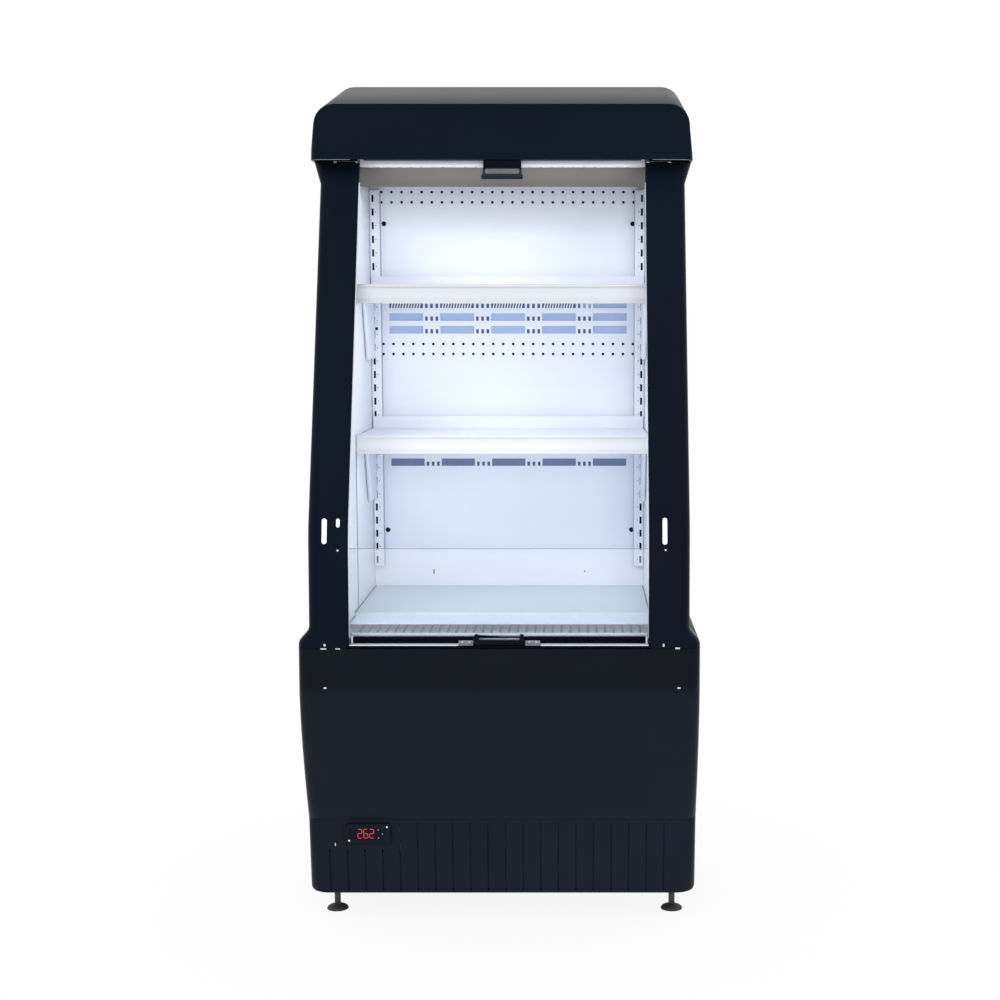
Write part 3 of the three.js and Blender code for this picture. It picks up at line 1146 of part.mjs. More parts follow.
// Hermetic compressor: a domed shell on a foot plate with rubber grommets, and its terminal box.
const COMPRESSOR_AT = [150, REAR - COMPRESSOR_INSET];
function compressor() {
  const foot = TRAY_TOP + 12;
  const [r, h] = [COMPRESSOR_RADIUS, COMPRESSOR_HEIGHT];
  const shell = turned([
    [0, 0],
    [r * 0.6, 0],
    [r * 0.9, h * 0.09],
    [r, h * 0.22],
    [r, h * 0.52],
    [r * 1.03, h * 0.54],
    [r * 1.03, h * 0.58],
    [r, h * 0.6],
    [r * 0.97, h * 0.76],
    [r * 0.78, h * 0.93],
    [r * 0.4, h],
    [0, h],
  ], 18, new THREE.Matrix4().makeTranslation(...COMPRESSOR_AT, foot));
  const [x, y] = COMPRESSOR_AT;
  const corners = [[-1, -1], [1, -1], [1, 1], [-1, 1]].map(([a, b]) => [x + a * 88, y + b * 62]);
  const plate = prism("z", rounded(corners, 14, 3), [foot - 1, foot + 2.5]);
  const grommets = corners.map(([cx, cy]) => {
    const at = [cx + Math.sign(x - cx) * 12, cy + Math.sign(y - cy) * 12];
    return rod("z", 9, foot - TRAY_TOP - CLEARANCE, [...at, (foot + TRAY_TOP + CLEARANCE) / 2], 10);
  });
  const box = block([x - r - 26, x - r + 12], [y - 30, y + 30], [foot + 50, foot + 120]);
  const stubs = [[30, -20], [46, 12]].map(([dx, dy]) => rod("z", 5, 40, [x + dx, y + dy, foot + h * 0.86], 8));
  return join(shell, plate, ...grommets, box, ...stubs);
}

// Liquid line from the condenser to the filter drier and up through the cabinet floor's edge.
const DRIER_AT = [232, -40, TRAY_TOP + 96];
function liquidLine() {
  const [x, y, z] = DRIER_AT;
  const drier = rod("y", 11, 84, [x, y + 42, z], 12);
  const foot = block([x - 2, x + 2], [y + 30, y + 54], [TRAY_TOP + CLEARANCE, z]);
  const line = tube(new THREE.CatmullRomCurve3([
    new THREE.Vector3(x, y + 80, z),
    new THREE.Vector3(x, y + 110, z),
    new THREE.Vector3(x + 12, y + 128, z + 12),
    new THREE.Vector3(x + 14, y + 132, z + 60),
    new THREE.Vector3(x + 14, y + 132, RING_TOP - 80),
    new THREE.Vector3(x + 14, y + 132, CABINET_BOTTOM - 2 * CLEARANCE),
  ]), 4, 14);
  const inlet = tube(new THREE.CatmullRomCurve3([
    new THREE.Vector3(x, y + 2, z),
    new THREE.Vector3(x, y - 22, z),
    new THREE.Vector3(x, y - 40, z + 8),
    new THREE.Vector3(x, y - 70, z + 12),
  ]), 4, 6);
  return join(drier, foot, line, inlet);
}

// Shallow tray that catches and evaporates the defrost water.
function drainPan() {
  const outside = [[-170, -20], [REAR - PAN_INSET - PAN_DEPTH, REAR - PAN_INSET]];
  const low = TRAY_TOP + CLEARANCE;
  const inside = outside.map(([a, b]) => [a + 2, b - 2]);
  return cut(block(...outside, [low, low + 46]), block(...inside, [low + 2, low + 60]));
}

function electricalBox() {
  const low = TRAY_TOP + CLEARANCE;
  const body = block([-FRAME_X + 44, -FRAME_X + 104], [-60, 60], [low, low + 96]);
  const lid = block([-FRAME_X + 42, -FRAME_X + 106], [-62, 62], [low + 84, low + 88]);
  return join(body, lid);
}

add("condenser_coil", condenserCoil(), ZINC);
add("condenser_fan_shroud", fanShroud(), PAINT);
const condenserFan = add("condenser_fan", axialFan(CONDENSER_FAN_RADIUS, 26, 28, 5, 22), RUBBER);
condenserFan.rotation.x = Math.PI / 2;
condenserFan.position.set(FAN_X, SHROUD_Y + SHROUD_DEPTH - 10, FAN_Z);
add("compressor", compressor(), PAINT);
add("liquid_line", liquidLine(), { color: 0xb4713d, roughness: 0.35, metalness: 0.9 });
add("drain_pan", drainPan(), RUBBER);
add("electrical_box", electricalBox(), ZINC);

// ---- Controller in the grille --------------------------------------------------------------------

// The controller and its buttons are built facing -Y about the bezel's centre, then set into the
// grille's sloping face.
const CONTROLLER = new THREE.Group();
CONTROLLER.position.set(CONTROLLER_X, front(CONTROLLER_Z), CONTROLLER_Z);
CONTROLLER.rotation.x = radians(GRILLE_TILT);
group.add(CONTROLLER);
const BEZEL_DEPTH = 6;
const BUTTON_SIZE = [7, 5];
const BUTTONS = { up: [18, 7.5], set: [25, 0], down: [18, -7.5] };

function controllerHousing() {
  const bezel = prism("y", rounded(rectangle(0, 0, CONTROLLER_WIDTH, CONTROLLER_HEIGHT), 5, 4), [-BEZEL_DEPTH, -CLEARANCE]);
  const body = block(
    [-CONTROLLER_BODY_WIDTH / 2, CONTROLLER_BODY_WIDTH / 2],
    [-1, 46],
    [-CONTROLLER_BODY_HEIGHT / 2 + 0.5, CONTROLLER_BODY_HEIGHT / 2 - 0.5],
  );
  const display = prism("y", rounded(rectangle(-11, 0, 44, 21), 2, 3), [-BEZEL_DEPTH - 1, -BEZEL_DEPTH + 1.2]);
  const wells = Object.values(BUTTONS).map(([x, z]) =>
    block(
      [x - BUTTON_SIZE[0] / 2 - CLEARANCE, x + BUTTON_SIZE[0] / 2 + CLEARANCE],
      [-BEZEL_DEPTH - 1, -BEZEL_DEPTH + 4.5],
      [z - BUTTON_SIZE[1] / 2 - CLEARANCE, z + BUTTON_SIZE[1] / 2 + CLEARANCE],
    ),
  );
  return cut(join(bezel, body), display, ...wells);
}

const housing = add("controller_housing", controllerHousing(), PLASTIC);
CONTROLLER.add(housing);
for (const [name, [x, z]] of Object.entries(BUTTONS)) {
  const floor = -BEZEL_DEPTH + 4.5 - CLEARANCE - BUTTON_TRAVEL;
  const cap = prism("y", rounded(rectangle(x, z, ...BUTTON_SIZE), 1.2, 2), [-BEZEL_DEPTH - 1, floor]);
  CONTROLLER.add(add(`controller_button_${name}`, cap, RUBBER));
}

export default group;
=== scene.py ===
import bpy
import json
import math
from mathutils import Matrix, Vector


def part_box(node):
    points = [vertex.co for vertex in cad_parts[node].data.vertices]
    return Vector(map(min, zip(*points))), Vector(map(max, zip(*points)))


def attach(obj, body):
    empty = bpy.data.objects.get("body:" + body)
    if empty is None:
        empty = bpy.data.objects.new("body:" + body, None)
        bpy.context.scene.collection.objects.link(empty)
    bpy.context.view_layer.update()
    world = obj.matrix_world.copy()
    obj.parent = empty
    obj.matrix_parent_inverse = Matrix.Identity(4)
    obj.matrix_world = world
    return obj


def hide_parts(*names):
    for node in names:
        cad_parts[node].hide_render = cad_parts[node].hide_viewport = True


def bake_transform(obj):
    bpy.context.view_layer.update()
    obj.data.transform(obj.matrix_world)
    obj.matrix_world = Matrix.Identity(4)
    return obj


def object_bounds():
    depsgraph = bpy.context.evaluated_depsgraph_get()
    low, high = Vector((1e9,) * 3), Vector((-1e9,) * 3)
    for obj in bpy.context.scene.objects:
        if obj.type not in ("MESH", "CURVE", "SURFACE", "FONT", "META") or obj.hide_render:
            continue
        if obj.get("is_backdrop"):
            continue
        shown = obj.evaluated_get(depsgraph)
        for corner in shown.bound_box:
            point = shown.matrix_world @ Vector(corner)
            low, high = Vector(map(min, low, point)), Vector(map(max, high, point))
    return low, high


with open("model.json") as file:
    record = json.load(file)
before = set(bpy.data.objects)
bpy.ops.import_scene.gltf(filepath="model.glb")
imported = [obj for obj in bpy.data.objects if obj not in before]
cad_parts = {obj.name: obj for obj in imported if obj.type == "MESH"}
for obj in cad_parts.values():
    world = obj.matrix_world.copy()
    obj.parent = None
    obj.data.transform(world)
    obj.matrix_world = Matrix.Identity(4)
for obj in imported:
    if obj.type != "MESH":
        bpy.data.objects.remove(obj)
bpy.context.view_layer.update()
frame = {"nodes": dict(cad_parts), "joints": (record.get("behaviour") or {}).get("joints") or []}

bpy.ops.object.select_all(action="DESELECT")

# ---- Camera, floor and studio light --------------------------------------------------------------
# A camera at standing chest height, a little right of the cooler and tilted down, with the frame
# shifted so that the cooler stands off centre. The floor is pale and fades into a white room.
CAMERA_AT = (0.1325, -3.025, 1.044)
TILT_DOWN = 6.87  # degrees
bpy.ops.object.camera_add(location=CAMERA_AT, rotation=(math.radians(90 - TILT_DOWN), 0, 0))
camera = bpy.context.object
camera.data.lens = 59.4
camera.data.sensor_width = 36
camera.data.shift_x = -0.0776
camera.data.shift_y = 0.028
bpy.context.scene.camera = camera
bpy.context.scene.view_settings.view_transform = "Standard"

ROOM_LIGHT = 0.62  # what the room gives as a lamp; to the camera, metal and glass it is white
world = bpy.data.worlds.new("white room")
bpy.context.scene.world = world
world.use_nodes = True
room = world.node_tree
background = room.nodes["Background"]
background.inputs["Color"].default_value = (1, 1, 1, 1)
rays = room.nodes.new("ShaderNodeLightPath")
seen = room.nodes.new("ShaderNodeMath")
seen.operation = "MAXIMUM"
room.links.new(rays.outputs["Is Camera Ray"], seen.inputs[0])
room.links.new(rays.outputs["Is Glossy Ray"], seen.inputs[1])
seen_through = room.nodes.new("ShaderNodeMath")
seen_through.operation = "MAXIMUM"
room.links.new(seen.outputs[0], seen_through.inputs[0])
room.links.new(rays.outputs["Is Transmission Ray"], seen_through.inputs[1])
level = room.nodes.new("ShaderNodeMapRange")
level.inputs["To Min"].default_value = ROOM_LIGHT
level.inputs["To Max"].default_value = 1.0
room.links.new(seen_through.outputs[0], level.inputs["Value"])
room.links.new(level.outputs[0], background.inputs["Strength"])

FLOOR_GLOW = 0.90  # share of plain white in the floor under the cooler
FADE_START, FADE_END = 0.20, 0.95  # distances between which the rest of it turns white
bpy.ops.mesh.primitive_plane_add(size=14, location=(0, 0, 0))
floor = bpy.context.object
floor.name = "studio_floor"
pale = bpy.data.materials.new("pale floor")
pale.use_nodes = True
tree = pale.node_tree
paint = tree.nodes["Principled BSDF"]
paint.inputs["Base Color"].default_value = (0.86, 0.86, 0.87, 1)
paint.inputs["Roughness"].default_value = 0.75
paint.inputs["Specular IOR Level"].default_value = 0.1
glow = tree.nodes.new("ShaderNodeEmission")
place = tree.nodes.new("ShaderNodeTexCoord")
away = tree.nodes.new("ShaderNodeVectorMath")
away.operation = "LENGTH"
tree.links.new(place.outputs["Object"], away.inputs[0])
fade = tree.nodes.new("ShaderNodeMapRange")
fade.interpolation_type = "SMOOTHSTEP"
fade.inputs["From Min"].default_value = FADE_START
fade.inputs["From Max"].default_value = FADE_END
fade.inputs["To Min"].default_value = FLOOR_GLOW
tree.links.new(away.outputs["Value"], fade.inputs["Value"])
blend_out = tree.nodes.new("ShaderNodeMixShader")
tree.links.new(fade.outputs[0], blend_out.inputs[0])
tree.links.new(paint.outputs[0], blend_out.inputs[1])
tree.links.new(glow.outputs[0], blend_out.inputs[2])
tree.links.new(blend_out.outputs[0], tree.nodes["Material Output"].inputs["Surface"])
floor.data.materials.append(pale)
floor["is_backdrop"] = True


def area_light(name, spot, aim, width, height, power):
    """A rectangular lamp at a spot, aimed at another, that no gloss shows."""
    bpy.ops.object.light_add(type="AREA", location=spot)
    lamp = bpy.context.object
    lamp.name = name
    lamp.rotation_euler = (Vector(aim) - Vector(spot)).to_track_quat("-Z", "Y").to_euler()
    lamp.data.shape = "RECTANGLE"
    lamp.data.size = width
    lamp.data.size_y = height
    lamp.data.energy = power
    lamp.visible_glossy = False
    return lamp


area_light("key light", (-1.7, -2.6, 2.9), (0, 0, 0.8), 1.8, 1.4, 46)
area_light("fill light", (2.3, -2.4, 1.7), (0, 0, 0.9), 1.6, 1.8, 26)
area_light("front light", (0.1, -3.6, 1.2), (0, 0.1, 0.9), 1.6, 1.6, 30)
area_light("rear light", (0.4, 2.6, 2.6), (0, 0, 0.9), 2.2, 1.4, 40)

# The lamp's light is thrown on the back and down each shelf space by low strips that no view shows.
THROW_WIDTH, THROW_HEIGHT = 0.46, 0.02
for name, spot, aim, power in [
    ("lamp throw", (0, -0.080, 1.318), (0, 0.14, 1.05), 0.28),
    ("upper shelf throw", (0, -0.100, 1.085), (0, 0.14, 0.92), 0.15),
    ("lower shelf throw", (0, -0.100, 0.820), (0, 0.14, 0.64), 0.17),
]:
    throw = area_light(name, spot, aim, THROW_WIDTH, THROW_HEIGHT, power)
    throw.data.color = (0.90, 0.93, 1.0)
    throw.visible_camera = False


# ---- Black mouldings: belly panel, louvred grille and base sides ---------------------------------
# The base is skinned in injection-moulded black plastic with a soft sheen. Each moulding keeps the
# form of its CAD solid; its edges are broken to a fine radius, as they leave the mould.
def alone(piece):
    """Selects one piece and nothing else."""
    bpy.ops.object.select_all(action="DESELECT")
    piece.select_set(True)
    bpy.context.view_layer.objects.active = piece


def settle(piece):
    """Puts a piece's place, turn and size into its mesh, so that its object sits at the origin."""
    alone(piece)
    bpy.ops.object.transform_apply(location=True, rotation=True, scale=True)


def break_edges(piece, width, segments=2, over=32, smooth=34):
    """Rounds each edge sharper than an angle in degrees, and shades the rest smooth."""
    alone(piece)
    bevel = piece.modifiers.new("edges", "BEVEL")
    bevel.width = width
    bevel.segments = segments
    bevel.limit_method = "ANGLE"
    bevel.angle_limit = math.radians(over)
    bevel.use_clamp_overlap = True
    bpy.ops.object.modifier_apply(modifier=bevel.name)
    bpy.ops.object.shade_smooth_by_angle(angle=math.radians(smooth))


def bar_of(name, spot, size, edge, segments=2, turn=(0, 0, 0)):
    """A straight bar, strip or plate of a given size, with its edges broken."""
    bpy.ops.mesh.primitive_cube_add(size=1, location=spot, rotation=turn)
    piece = bpy.context.object
    piece.name = name
    piece.scale = size
    settle(piece)
    if edge:
        break_edges(piece, edge, segments)
    return piece


def gather(pieces, name):
    """Joins pieces into one."""
    bpy.ops.object.select_all(action="DESELECT")
    for piece in pieces:
        piece.select_set(True)
    bpy.context.view_layer.objects.active = pieces[0]
    bpy.ops.object.join()
    pieces[0].name = name
    return pieces[0]


def pick_faces(piece, wanted):
    """Selects the faces whose normal a test wants, and leaves the piece in edit mode."""
    alone(piece)
    bpy.ops.object.mode_set(mode="EDIT")
    bpy.ops.mesh.select_mode(type="FACE")
    bpy.ops.mesh.select_all(action="DESELECT")
    bpy.ops.object.mode_set(mode="OBJECT")
    for face in piece.data.polygons:
        face.select = wanted(face.normal)
    bpy.ops.object.mode_set(mode="EDIT")


def moulded(node, name, edge, segments=2, over=32):
    """A copy of a node's solid with its triangles merged into faces and its edges broken."""
    piece = bpy.data.objects.new(name, frame["nodes"][node].data.copy())
    bpy.context.scene.collection.objects.link(piece)
    piece.data.materials.clear()
    alone(piece)
    bpy.ops.object.mode_set(mode="EDIT")
    bpy.ops.mesh.select_all(action="SELECT")
    bpy.ops.mesh.remove_doubles(threshold=0.00002)
    bpy.ops.mesh.dissolve_limited(angle_limit=math.radians(0.6))
    bpy.ops.object.mode_set(mode="OBJECT")
    if edge:
        break_edges(piece, edge, segments, over)
    else:
        bpy.ops.object.shade_smooth_by_angle(angle=math.radians(34))
    return piece


def finish_of(name, colour, rough, metal=0.0, specular=0.5, patch=0.1, patch_size=7,
              stretch=(1, 1, 1), grain=0.05, grain_size=900, rough_spread=0.06):
    """A finish with broad patches in colour and gloss, and a fine grain in its relief."""
    material = bpy.data.materials.new(name)
    material.use_nodes = True
    tree = material.node_tree
    shader = tree.nodes["Principled BSDF"]
    shader.inputs["Metallic"].default_value = metal
    shader.inputs["Specular IOR Level"].default_value = specular
    place = tree.nodes.new("ShaderNodeTexCoord")
    turn = tree.nodes.new("ShaderNodeMapping")
    turn.inputs["Scale"].default_value = stretch
    tree.links.new(place.outputs["Object"], turn.inputs["Vector"])
    broad = tree.nodes.new("ShaderNodeTexNoise")
    broad.inputs["Scale"].default_value = patch_size
    broad.inputs["Detail"].default_value = 5
    tree.links.new(turn.outputs[0], broad.inputs["Vector"])
    tones = tree.nodes.new("ShaderNodeValToRGB")
    tones.color_ramp.elements[0].position = 0.3
    tones.color_ramp.elements[1].position = 0.7
    tones.color_ramp.elements[0].color = (*[c * (1 - patch) for c in colour], 1)
    tones.color_ramp.elements[1].color = (*[min(1, c * (1 + patch)) for c in colour], 1)
    tree.links.new(broad.outputs["Fac"], tones.inputs["Fac"])
    tree.links.new(tones.outputs["Color"], shader.inputs["Base Color"])
    gloss = tree.nodes.new("ShaderNodeMapRange")
    gloss.inputs["To Min"].default_value = rough - rough_spread
    gloss.inputs["To Max"].default_value = rough + rough_spread
    tree.links.new(broad.outputs["Fac"], gloss.inputs["Value"])
    tree.links.new(gloss.outputs[0], shader.inputs["Roughness"])
    fine = tree.nodes.new("ShaderNodeTexNoise")
    fine.inputs["Scale"].default_value = grain_size
    fine.inputs["Detail"].default_value = 3
    tree.links.new(turn.outputs[0], fine.inputs["Vector"])
    relief = tree.nodes.new("ShaderNodeBump")
    relief.inputs["Strength"].default_value = grain
    relief.inputs["Distance"].default_value = 0.0006
    tree.links.new(fine.outputs["Fac"], relief.inputs["Height"])
    tree.links.new(relief.outputs[0], shader.inputs["Normal"])
    return material


def fit(piece, body, slot, *nodes, material=None):
    """Gives a piece its finish, seats it on its body and hides the nodes it stands for; slot is not
    used.
    """
    if material:
        piece.data.materials.clear()
        piece.data.materials.append(material)
    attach(piece, body)
    if nodes:
        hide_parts(*nodes)
    return piece


SHADE_FROM, SHADE_TO = 0.425, 0.450  # heights between which the shoulder is painted darker, as painted shade
SHOULDER_SHADE = 0.62
# Above these heights the base mouldings' colour is scaled down: painted shade on the shoulder's upper
# band.
base_plastic = finish_of("black base moulding", (0.0078, 0.0102, 0.0170), 0.32, specular=0.04,
                         patch=0.12, patch_size=3, grain=0.08, grain_size=1400)
tree = base_plastic.node_tree
place = tree.nodes.new("ShaderNodeTexCoord")
parts = tree.nodes.new("ShaderNodeSeparateXYZ")
tree.links.new(place.outputs["Object"], parts.inputs[0])
shoulder = tree.nodes.new("ShaderNodeMapRange")
shoulder.interpolation_type = "SMOOTHSTEP"
shoulder.inputs["From Min"].default_value = SHADE_FROM
shoulder.inputs["From Max"].default_value = SHADE_TO
shoulder.inputs["To Min"].default_value = 1.0
shoulder.inputs["To Max"].default_value = SHOULDER_SHADE
tree.links.new(parts.outputs["Z"], shoulder.inputs["Value"])
darker = tree.nodes.new("ShaderNodeVectorMath")
darker.operation = "SCALE"
shader = tree.nodes["Principled BSDF"]
tree.links.new(shader.inputs["Base Color"].links[0].from_socket, darker.inputs[0])
tree.links.new(shoulder.outputs[0], darker.inputs["Scale"])
tree.links.new(darker.outputs[0], shader.inputs["Base Color"])
for node, edge in [("base_front_panel", 0.0010), ("louvre_grille", 0.0007),
                   ("base_side_left", 0.0010), ("base_side_right", 0.0010)]:
    skin = moulded(node, node + "_moulding", edge)
    fit(skin, "cabinet", "black_moulding", node, material=base_plastic)

# A black sheet of painted shade stands close behind the louvres, so that the slots show no light.
GRILLE_LEAN = math.radians(6.3)
GRILLE_TOP, LOUVRE_SHADE_TOP_Y = 0.196, -0.2216
LOUVRE_SHADE_THICKNESS = 0.0008
louvre_shade_paint = finish_of("black louvre painted shade", (0.019, 0.024, 0.040), 0.5, specular=0.05, patch_size=6)
louvre_shades = []
for x0, x1, z0, z1 in [(-0.3080, 0.2930, 0.0572, 0.1330), (-0.1780, 0.2930, 0.1340, 0.1900)]:
    middle = (z0 + z1) / 2
    y = LOUVRE_SHADE_TOP_Y + (GRILLE_TOP - middle) * math.tan(GRILLE_LEAN)
    size = (x1 - x0, LOUVRE_SHADE_THICKNESS, (z1 - z0) / math.cos(GRILLE_LEAN))
    louvre_shades.append(bar_of("louvre_shade", ((x0 + x1) / 2, y, middle), size, 0, turn=(GRILLE_LEAN, 0, 0)))
louvre_shade = gather(louvre_shades, "louvre_painted_shade")
break_edges(louvre_shade, 0.0002, 1)
fit(louvre_shade, "cabinet", "black_moulding", material=louvre_shade_paint)

# Two bright oval-headed screws hold the belly panel near its sides.
screw_steel = finish_of("bright plated screw", (0.62, 0.63, 0.66), 0.30, metal=0.8, patch=0.2,
                        patch_size=300)


def pan_screw(name, spot, radius):
    """A pan-head screw facing -Y: a domed disc with a driver recess sunk in its face."""
    bpy.ops.mesh.primitive_cylinder_add(vertices=24, radius=radius, depth=radius * 0.7)
    screw = bpy.context.object
    screw.name = name
    pick_faces(screw, lambda normal: normal.z > 0.9)
    bpy.ops.mesh.inset(thickness=radius * 0.22, depth=radius * 0.12)
    bpy.ops.mesh.inset(thickness=radius * 0.34, depth=radius * 0.04)
    bpy.ops.mesh.inset(thickness=radius * 0.06, depth=-radius * 0.28)
    bpy.ops.object.mode_set(mode="OBJECT")
    break_edges(screw, radius * 0.1, 2)
    screw.rotation_euler = (math.radians(90), 0, 0)
    screw.location = spot
    settle(screw)
    return fit(screw, "cabinet", "painted_steel", material=screw_steel)


SCREW_Z, OVAL = 0.4445, 0.55  # height of the two screws, and their height over their width
for side, x in [("left", -0.2925), ("right", 0.3030)]:
    head = pan_screw(f"belly_screw_{side}", (x, -0.3002, SCREW_Z), 0.0030)
    for corner in head.data.vertices:
        corner.co.z = SCREW_Z + (corner.co.z - SCREW_Z) * OVAL

# ---- Front pillars -------------------------------------------------------------------------------
# Black moulded pillars, one piece each from the base seam to the canopy, with a shoulder at the foot
# and a flare at the top. Blind plugs cover their fixing slots just below the bend; their white is
# also painted highlight, for the reflections the pillars show there.
black_plastic = finish_of("black moulded plastic", (0.0034, 0.0064, 0.0130), 0.31, specular=0.025,
                          patch_size=2, grain=0.08, grain_size=1200)
for side in ("left", "right"):
    pillar = moulded(f"pillar_{side}", f"pillar_{side}_moulding", 0.0010)
    fit(pillar, "cabinet", "black_moulding", f"pillar_{side}", material=black_plastic)


def pillar_face(z):
    """Y of the pillars' front face at a height: nearly upright, then bent back over the shelves."""
    past = (z - 0.705) / 0.07 + 0.5
    bend = 0.035 * max(0, past) ** 2 if past < 1 else z - 0.705
    return -0.3 + 0.0369 * (z - 0.434) + 0.31918 * bend


def pick_edges(piece, wanted):
    """Selects the edges whose two ends a test wants, and leaves the piece in edit mode."""
    alone(piece)
    bpy.ops.object.mode_set(mode="EDIT")
    bpy.ops.mesh.select_mode(type="EDGE")
    bpy.ops.mesh.select_all(action="DESELECT")
    bpy.ops.object.mode_set(mode="OBJECT")
    for edge in piece.data.edges:
        edge.select = wanted(*[piece.data.vertices[i].co for i in edge.vertices])
    bpy.ops.object.mode_set(mode="EDIT")


# The plugs' white is part plug, part painted highlight.
PLUG_DEPTH = 0.0030
plug_plastic = finish_of("white blind plug", (0.80, 0.82, 0.85), 0.40, specular=0.4, patch=0.04,
                         patch_size=40, grain=0.1, grain_size=1600)
for name, x, z, wide, high in [
    ("pillar_plug_left", -0.2912, 0.7085, 0.0085, 0.0430),
    ("pillar_plug_right", 0.2785, 0.7085, 0.0080, 0.0450),
    ("pillar_plug_small", -0.2685, 0.7218, 0.0062, 0.0150),
    ("pillar_plug_dot_left", -0.2688, 0.6767, 0.0032, 0.0032),
    ("pillar_plug_dot_right", 0.2795, 0.6774, 0.0030, 0.0030),
]:
    slope = (pillar_face(z + 0.005) - pillar_face(z - 0.005)) / 0.01
    bpy.ops.mesh.primitive_cube_add(size=1, location=(x, pillar_face(z) + 0.0002, z))
    plug = bpy.context.object
    plug.name = name
    plug.scale = (wide, PLUG_DEPTH, high)
    plug.rotation_euler = (-math.atan(slope), 0, 0)
    bpy.ops.object.transform_apply(location=False, rotation=False, scale=True)
    pick_edges(plug, lambda a, b: abs(a.y - b.y) > 0.001)
    bpy.ops.mesh.bevel(offset=wide * 0.48, segments=6)
    bpy.ops.object.mode_set(mode="OBJECT")
    break_edges(plug, 0.0006, 2)
    settle(plug)
    fit(plug, "cabinet", "white_plastic", material=plug_plastic)

# White strips line the sides of the opening. Small bright clips at the pillars' ends and one low on the
# grille are also painted glints, where the seams catch the light.
for side, hand in [("left", -1), ("right", 1)]:
    reveal = moulded(f"pillar_{side}", f"opening_reveal_{side}", 0)
    alone(reveal)
    bpy.ops.object.mode_set(mode="EDIT")
    for spot, beyond in [((hand * 0.2526, 0, 0), (hand, 0, 0)), ((0, 0, 0.5285), (0, 0, -1)),
                         ((0, 0, 1.300), (0, 0, 1))]:
        bpy.ops.mesh.select_all(action="SELECT")
        bpy.ops.mesh.bisect(plane_co=spot, plane_no=beyond, clear_outer=True, use_fill=True)
    bpy.ops.mesh.select_all(action="SELECT")
    bpy.ops.transform.translate(value=(-hand * 0.0008, 0, 0))
    bpy.ops.object.mode_set(mode="OBJECT")
    fit(reveal, "cabinet", "liner", material=plug_plastic)
# Bright steel clips that also serve as painted glints at the seams.
for i, (x, y, z, wide, high) in enumerate([
    (-0.2945, -0.2973, 0.5108, 0.0100, 0.0024),
    (-0.2925, -0.2973, 0.5170, 0.0040, 0.0040),
    (-0.2705, -0.2973, 0.5108, 0.0080, 0.0020),
    (0.2770, -0.2973, 0.5170, 0.0032, 0.0050),
    (0.3005, -0.2973, 0.5118, 0.0080, 0.0030),
    (-0.2560, -0.0660, 1.3362, 0.0050, 0.0024),
    (-0.2940, -0.0660, 1.3362, 0.0050, 0.0020),
    (0.2560, -0.0660, 1.3362, 0.0050, 0.0024),
    (0.2940, -0.0660, 1.3362, 0.0050, 0.0020),
    (-0.2909, -0.2276, 0.1500, 0.0016, 0.0060),
]):
    clip = bar_of(f"pillar_glint_clip_{i + 1}", (x, y, z), (wide, 0.0012, high), 0.0004)
    fit(clip, "cabinet", "white_plastic", material=screw_steel)

# A grey weather strip closes the joint between each pillar's head and the canopy, and follows the
# canopy's rounded corner. Its pale grey is also painted highlight, for the light line along that seam.
CORNER_RADIUS, CORNER_START = 0.024, 0.3100
strip_grey = finish_of("grey weather strip", (0.16, 0.17, 0.19), 0.5, specular=0.3, patch=0.2,
                       patch_size=60)
for side, hand in [("left", -1), ("right", 1)]:
    seal = bar_of(f"canopy_seal_{side}", (hand * 0.2975, -0.1050, 1.3364),
                  (0.0700, 0.0012, 0.0011), 0.0003)
    pick_edges(seal, lambda a, b: abs(a.x - b.x) > 0.05)
    bpy.ops.mesh.subdivide(number_cuts=11)
    bpy.ops.object.mode_set(mode="OBJECT")
    for corner in seal.data.vertices:
        past = abs(corner.co.x) - CORNER_START
        if past > 0:
            corner.co.y += CORNER_RADIUS - math.sqrt(CORNER_RADIUS ** 2 - past ** 2)
    fit(seal, "cabinet", "black_trim", material=strip_grey)

# ---- Canopy and its lamp -------------------------------------------------------------------------
# One vacuum-formed black hood with rounded top edges. Behind its lip an aluminium batten carries the
# light-emitting strip that lights the shelves.
hood = moulded("canopy_shell", "canopy_hood", 0.0014, 3)
fit(hood, "cabinet", "black_moulding", "canopy_shell", material=black_plastic)

lamp_body = finish_of("lamp batten aluminium", (0.72, 0.73, 0.75), 0.35, metal=0.9,
                      stretch=(1, 40, 40), patch_size=4)
batten = moulded("led_lamp", "lamp_batten", 0.0006)
fit(batten, "cabinet", "white_plastic", "led_lamp", material=lamp_body)
TUBE_RADIUS = 0.0048
low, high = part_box("led_lamp")
bpy.ops.mesh.primitive_cylinder_add(vertices=20, radius=TUBE_RADIUS, depth=high.x - low.x - 0.02,
                                    location=(0, high.y + 0.0005, low.z + TUBE_RADIUS),
                                    rotation=(0, math.radians(90), 0))
diffuser = bpy.context.object
diffuser.name = "lamp_diffuser"
break_edges(diffuser, 0.0008, 2)
settle(diffuser)
lamp_light = bpy.data.materials.new("lit lamp diffuser")
lamp_light.use_nodes = True
tree = lamp_light.node_tree
shader = tree.nodes["Principled BSDF"]
shader.inputs["Base Color"].default_value = (0.95, 0.97, 1.0, 1)
shader.inputs["Roughness"].default_value = 0.4
shader.inputs["Emission Color"].default_value = (0.90, 0.96, 1.0, 1)
shader.inputs["Emission Strength"].default_value = 1.2
fit(diffuser, "cabinet", "white_plastic", material=lamp_light)

